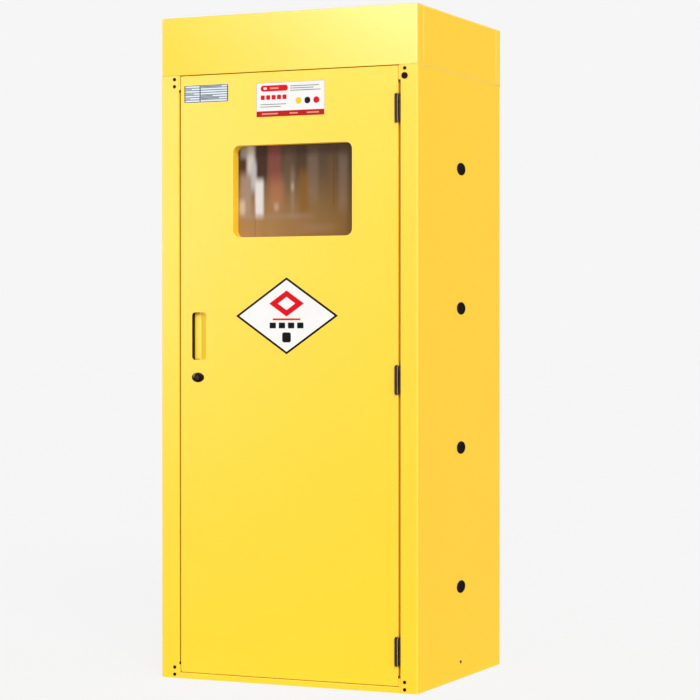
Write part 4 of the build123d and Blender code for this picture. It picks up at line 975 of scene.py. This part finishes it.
class CABINET_OT_lock_bezel(bpy.types.Operator):
    """Make the domed oval bezel round the lock"""

    bl_idname = "cabinet.lock_bezel"
    bl_label = "Lock Bezel"

    def execute(self, context):
        fittings = context.scene.cabinet_fittings
        low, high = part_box("lock_escutcheon")
        middle = (low + high) / 2
        wide, tall = fittings.bezel_width / 2, fittings.bezel_height / 2
        hole, rise = fittings.bezel_hole, fittings.bezel_depth
        # A quarter round in steps from the outline up to the hole, whose edge is broken
        steps, shoulder, broken_edge = 7, 0.0003, 0.0004
        rings = [(hole, hole, 0.0), (wide, tall, 0.0)]
        for step in range(1, steps):
            turn = math.pi / 2 / steps * step
            share, lift = math.cos(turn), math.sin(turn)
            rings.append((hole + (wide - hole) * share, hole + (tall - hole) * share, rise * lift))
        rings.append((hole + shoulder, hole + shoulder, rise))
        rings.append((hole, hole, rise - broken_edge))
        bm = bmesh.new()
        first, last = ringed(bm, rings, fittings.segments)
        bmesh.ops.bridge_loops(bm, edges=first + last)
        set_on(bm, ON_FRONT, middle.x, FRONT, middle.z)
        black = bpy.data.materials["black_bezel"]
        piece(bm, "lock_bezel", "door", [black], ["lock_escutcheon"], sharp=40)
        return {"FINISHED"}


class CABINET_OT_table_plate(bpy.types.Operator):
    """Make the small ruled plate in the upper left corner of the door"""

    bl_idname = "cabinet.table_plate"
    bl_label = "Ruled Plate"

    def execute(self, context):
        plates = context.scene.cabinet_plates
        width, height = plates.table_width, plates.table_height
        low, high = plates.thickness, plates.thickness + plates.ink
        line, margin, divider = 0.0018, 0.003, -0.14 * width
        inner_width, inner_height = width - margin, height - margin
        step = inner_height / plates.table_rows
        bm = bmesh.new()
        slab(bm, (0, 0), (width, height), 0, low, 0, corner=plates.corner)
        for x in (-inner_width / 2, divider, inner_width / 2):
            slab(bm, (x, 0), (1.6 * line, inner_height), low, high, 1)
        for row in range(plates.table_rows + 1):
            y = inner_height * (0.5 - row / plates.table_rows)
            slab(bm, (0, y), (inner_width, line), low, high * 1.01, 1)
        # Short bars in some rows: the row, then the bar's share of its left and of its right cell
        filled = ((0, 0.0, 0.8), (1, 0.45, 0.0), (3, 0.6, 0.0), (4, 0.0, 0.45), (5, 0.35, 0.7))
        for row, *shares in filled:
            y = inner_height / 2 - (row + 0.5) * step
            for share, left, right, tall, ink in (
                (shares[0], -inner_width / 2, divider, 0.3, 2),
                (shares[1], divider, inner_width / 2, 0.34, 1),
            ):
                long = share * (right - left - 2 * margin)
                if share:
                    slab(bm, (left + margin + long / 2, y), (long, tall * step), low, high, ink)
        inks = [
            printed("pale_foil", plates.foil),
            printed("blue_ink", plates.blue),
            printed("grey_ink", plates.grey),
        ]
        door_plate(bm, "ruled_plate", plates.table_x, plates.table_z, inks)
        return {"FINISHED"}


class CABINET_OT_notice_plate(bpy.types.Operator):
    """Make the white plate with the red band above the window"""

    bl_idname = "cabinet.notice_plate"
    bl_label = "White Plate"

    def execute(self, context):
        plates = context.scene.cabinet_plates
        width, height, band = plates.notice_width, plates.notice_height, plates.notice_band
        low, high = plates.thickness, plates.thickness + plates.ink
        top = high + plates.ink
        white, red, dark, grey, yellow, dark_red, pale_red = range(7)
        margin, line = 0.001, 0.0007
        bm = bmesh.new()
        slab(bm, (0, 0), (width, height), 0, low, white, corner=plates.corner)
        slab(bm, (0, (band - height) / 2), (width - margin, band), low, high, dark_red)
        # Thin grey lines along the plate's sides and top: painted shadow of its edge
        for side in (-1, 1):
            slab(bm, (side * (width - line) / 2, band / 2), (line, height - band), low, high, grey)
        slab(bm, (0, (height - line) / 2), (width - 2 * line, line), low, high, grey)
        # Middle and size as shares of the plate, corner as a share of the print, and ink
        prints = [
            (-0.235, 0.330, 0.400, 0.175, 0.45, red),
            (-0.370, 0.330, 0.050, 0.070, 0.45, white),
            (-0.235, 0.330, 0.130, 0.045, 0.3, pale_red),
            (0.210, 0.375, 0.420, 0.022, 0.3, grey),
            (0.170, 0.310, 0.340, 0.022, 0.3, grey),
            (0.220, 0.245, 0.440, 0.022, 0.3, grey),
            *((x, 0.065, 0.060, 0.135, 0.2, red) for x in (-0.405, -0.325, -0.245, -0.165, -0.085)),
            (-0.250, -0.140, 0.380, 0.020, 0.3, grey),
            (-0.290, -0.210, 0.300, 0.020, 0.3, grey),
            (0.120, -0.060, 0.085, 0.190, 0.45, yellow),
            (0.250, -0.060, 0.085, 0.190, 0.45, dark),
            (0.380, -0.060, 0.085, 0.190, 0.45, red),
            (-0.300, -0.417, 0.240, 0.040, 0.3, pale_red),
            (0.050, -0.417, 0.120, 0.040, 0.3, pale_red),
            (0.330, -0.417, 0.180, 0.040, 0.3, pale_red),
        ]
        for x, y, wide, tall, corner, ink in prints:
            size = (wide * width, tall * height)
            # White and pale red lie on the red print
            foot, crest = (high, top) if ink in (white, pale_red) else (low, high)
            slab(bm, (x * width, y * height), size, foot, crest, ink, corner=corner * min(size))
        inks = [
            printed("white_film", plates.white),
            printed("red_ink", plates.red),
            printed("dark_ink", plates.dark),
            bpy.data.materials["grey_ink"],
            printed("yellow_ink", (0.90, 0.55, 0.03)),
            printed("dark_red_ink", plates.dark_red),
            printed("pale_red_ink", plates.pale_red),
        ]
        door_plate(bm, "notice_plate", plates.notice_x, plates.notice_z, inks)
        return {"FINISHED"}


class CABINET_OT_diamond_plate(bpy.types.Operator):
    """Make the diamond plate in the middle of the door"""

    bl_idname = "cabinet.diamond_plate"
    bl_label = "Diamond Plate"

    def execute(self, context):
        plates = context.scene.cabinet_plates
        width, height, border = plates.diamond_width, plates.diamond_height, plates.diamond_border
        # The dark plate, the white film that leaves its border, the print, and the white in the red lozenge
        base, film, print_top, top = (plates.thickness + plates.ink * step for step in range(4))
        white, red, dark = range(3)
        inner = 1 - 2 * border * math.hypot(1 / width, 1 / height)
        bm = bmesh.new()
        slab(bm, (0, 0), (width, height), 0, base, dark, corner=plates.corner, lozenge=True)
        slab(bm, (0, 0), (width * inner, height * inner), base, film, white, lozenge=True)
        # A plain red lozenge, a thin red line and dark bars, placed by shares of the plate
        slab(bm, (0, 0.16 * height), (0.34 * width, 0.34 * height), film, print_top, red, lozenge=True)
        slab(bm, (0, 0.16 * height), (0.17 * width, 0.17 * height), print_top, top, white, lozenge=True)
        slab(bm, (0, -0.045 * height), (0.27 * width, 0.024 * height), film, print_top, red)
        for share in (-0.135, -0.045, 0.045, 0.135):
            size = (0.062 * width, 0.075 * height)
            slab(bm, (share * width, -0.125 * height), size, film, print_top, dark, corner=0.002)
        slab(bm, (0, -0.28 * height), (0.085 * width, 0.13 * height), film, print_top, dark, corner=0.006)
        inks = [bpy.data.materials[name] for name in ("white_film", "red_ink", "dark_ink")]
        door_plate(bm, "diamond_plate", plates.diamond_x, plates.diamond_z, inks)
        return {"FINISHED"}


GROUPS = (
    ("cabinet_paint", CabinetPaint),
    ("cabinet_fittings", CabinetFittings),
    ("cabinet_plates", CabinetPlates),
    ("cabinet_stage", CabinetStage),
)
STEPS = (
    CABINET_OT_stage,
    CABINET_OT_powder_coat,
    CABINET_OT_metal,
    CABINET_OT_rubber,
    CABINET_OT_window,
    CABINET_OT_pipe_plugs,
    CABINET_OT_frame_screws,
    CABINET_OT_lock_bezel,
    CABINET_OT_table_plate,
    CABINET_OT_notice_plate,
    CABINET_OT_diamond_plate,
)


class CABINET_PT_sidebar(bpy.types.Panel):
    """Steps and sizes of the cabinet"""

    bl_idname = "CABINET_PT_sidebar"
    bl_label = "Gas Cylinder Cabinet"
    bl_space_type = "VIEW_3D"
    bl_region_type = "UI"
    bl_category = "Cabinet"

    def draw(self, context):
        layout = self.layout
        for step in STEPS:
            layout.operator(step.bl_idname)
        for name, group in GROUPS:
            box = layout.box()
            box.label(text=group.__doc__)
            for prop in group.__annotations__:
                box.prop(getattr(context.scene, name), prop)


def register():
    for name, group in GROUPS:
        bpy.utils.register_class(group)
        setattr(bpy.types.Scene, name, PointerProperty(type=group))
    for cls in (*STEPS, CABINET_PT_sidebar):
        bpy.utils.register_class(cls)


def unregister():
    for cls in reversed((*STEPS, CABINET_PT_sidebar)):
        bpy.utils.unregister_class(cls)
    for name, group in reversed(GROUPS):
        delattr(bpy.types.Scene, name)
        bpy.utils.unregister_class(group)


def main():
    register()
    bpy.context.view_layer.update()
    bpy.ops.cabinet.stage()
    bpy.ops.cabinet.powder_coat()
    bpy.ops.cabinet.metal()
    bpy.ops.cabinet.rubber()
    bpy.ops.cabinet.window()
    bpy.ops.cabinet.pipe_plugs()
    bpy.ops.cabinet.frame_screws()
    bpy.ops.cabinet.lock_bezel()
    bpy.ops.cabinet.table_plate()
    bpy.ops.cabinet.notice_plate()
    bpy.ops.cabinet.diamond_plate()


if __name__ == "__main__":
    main()
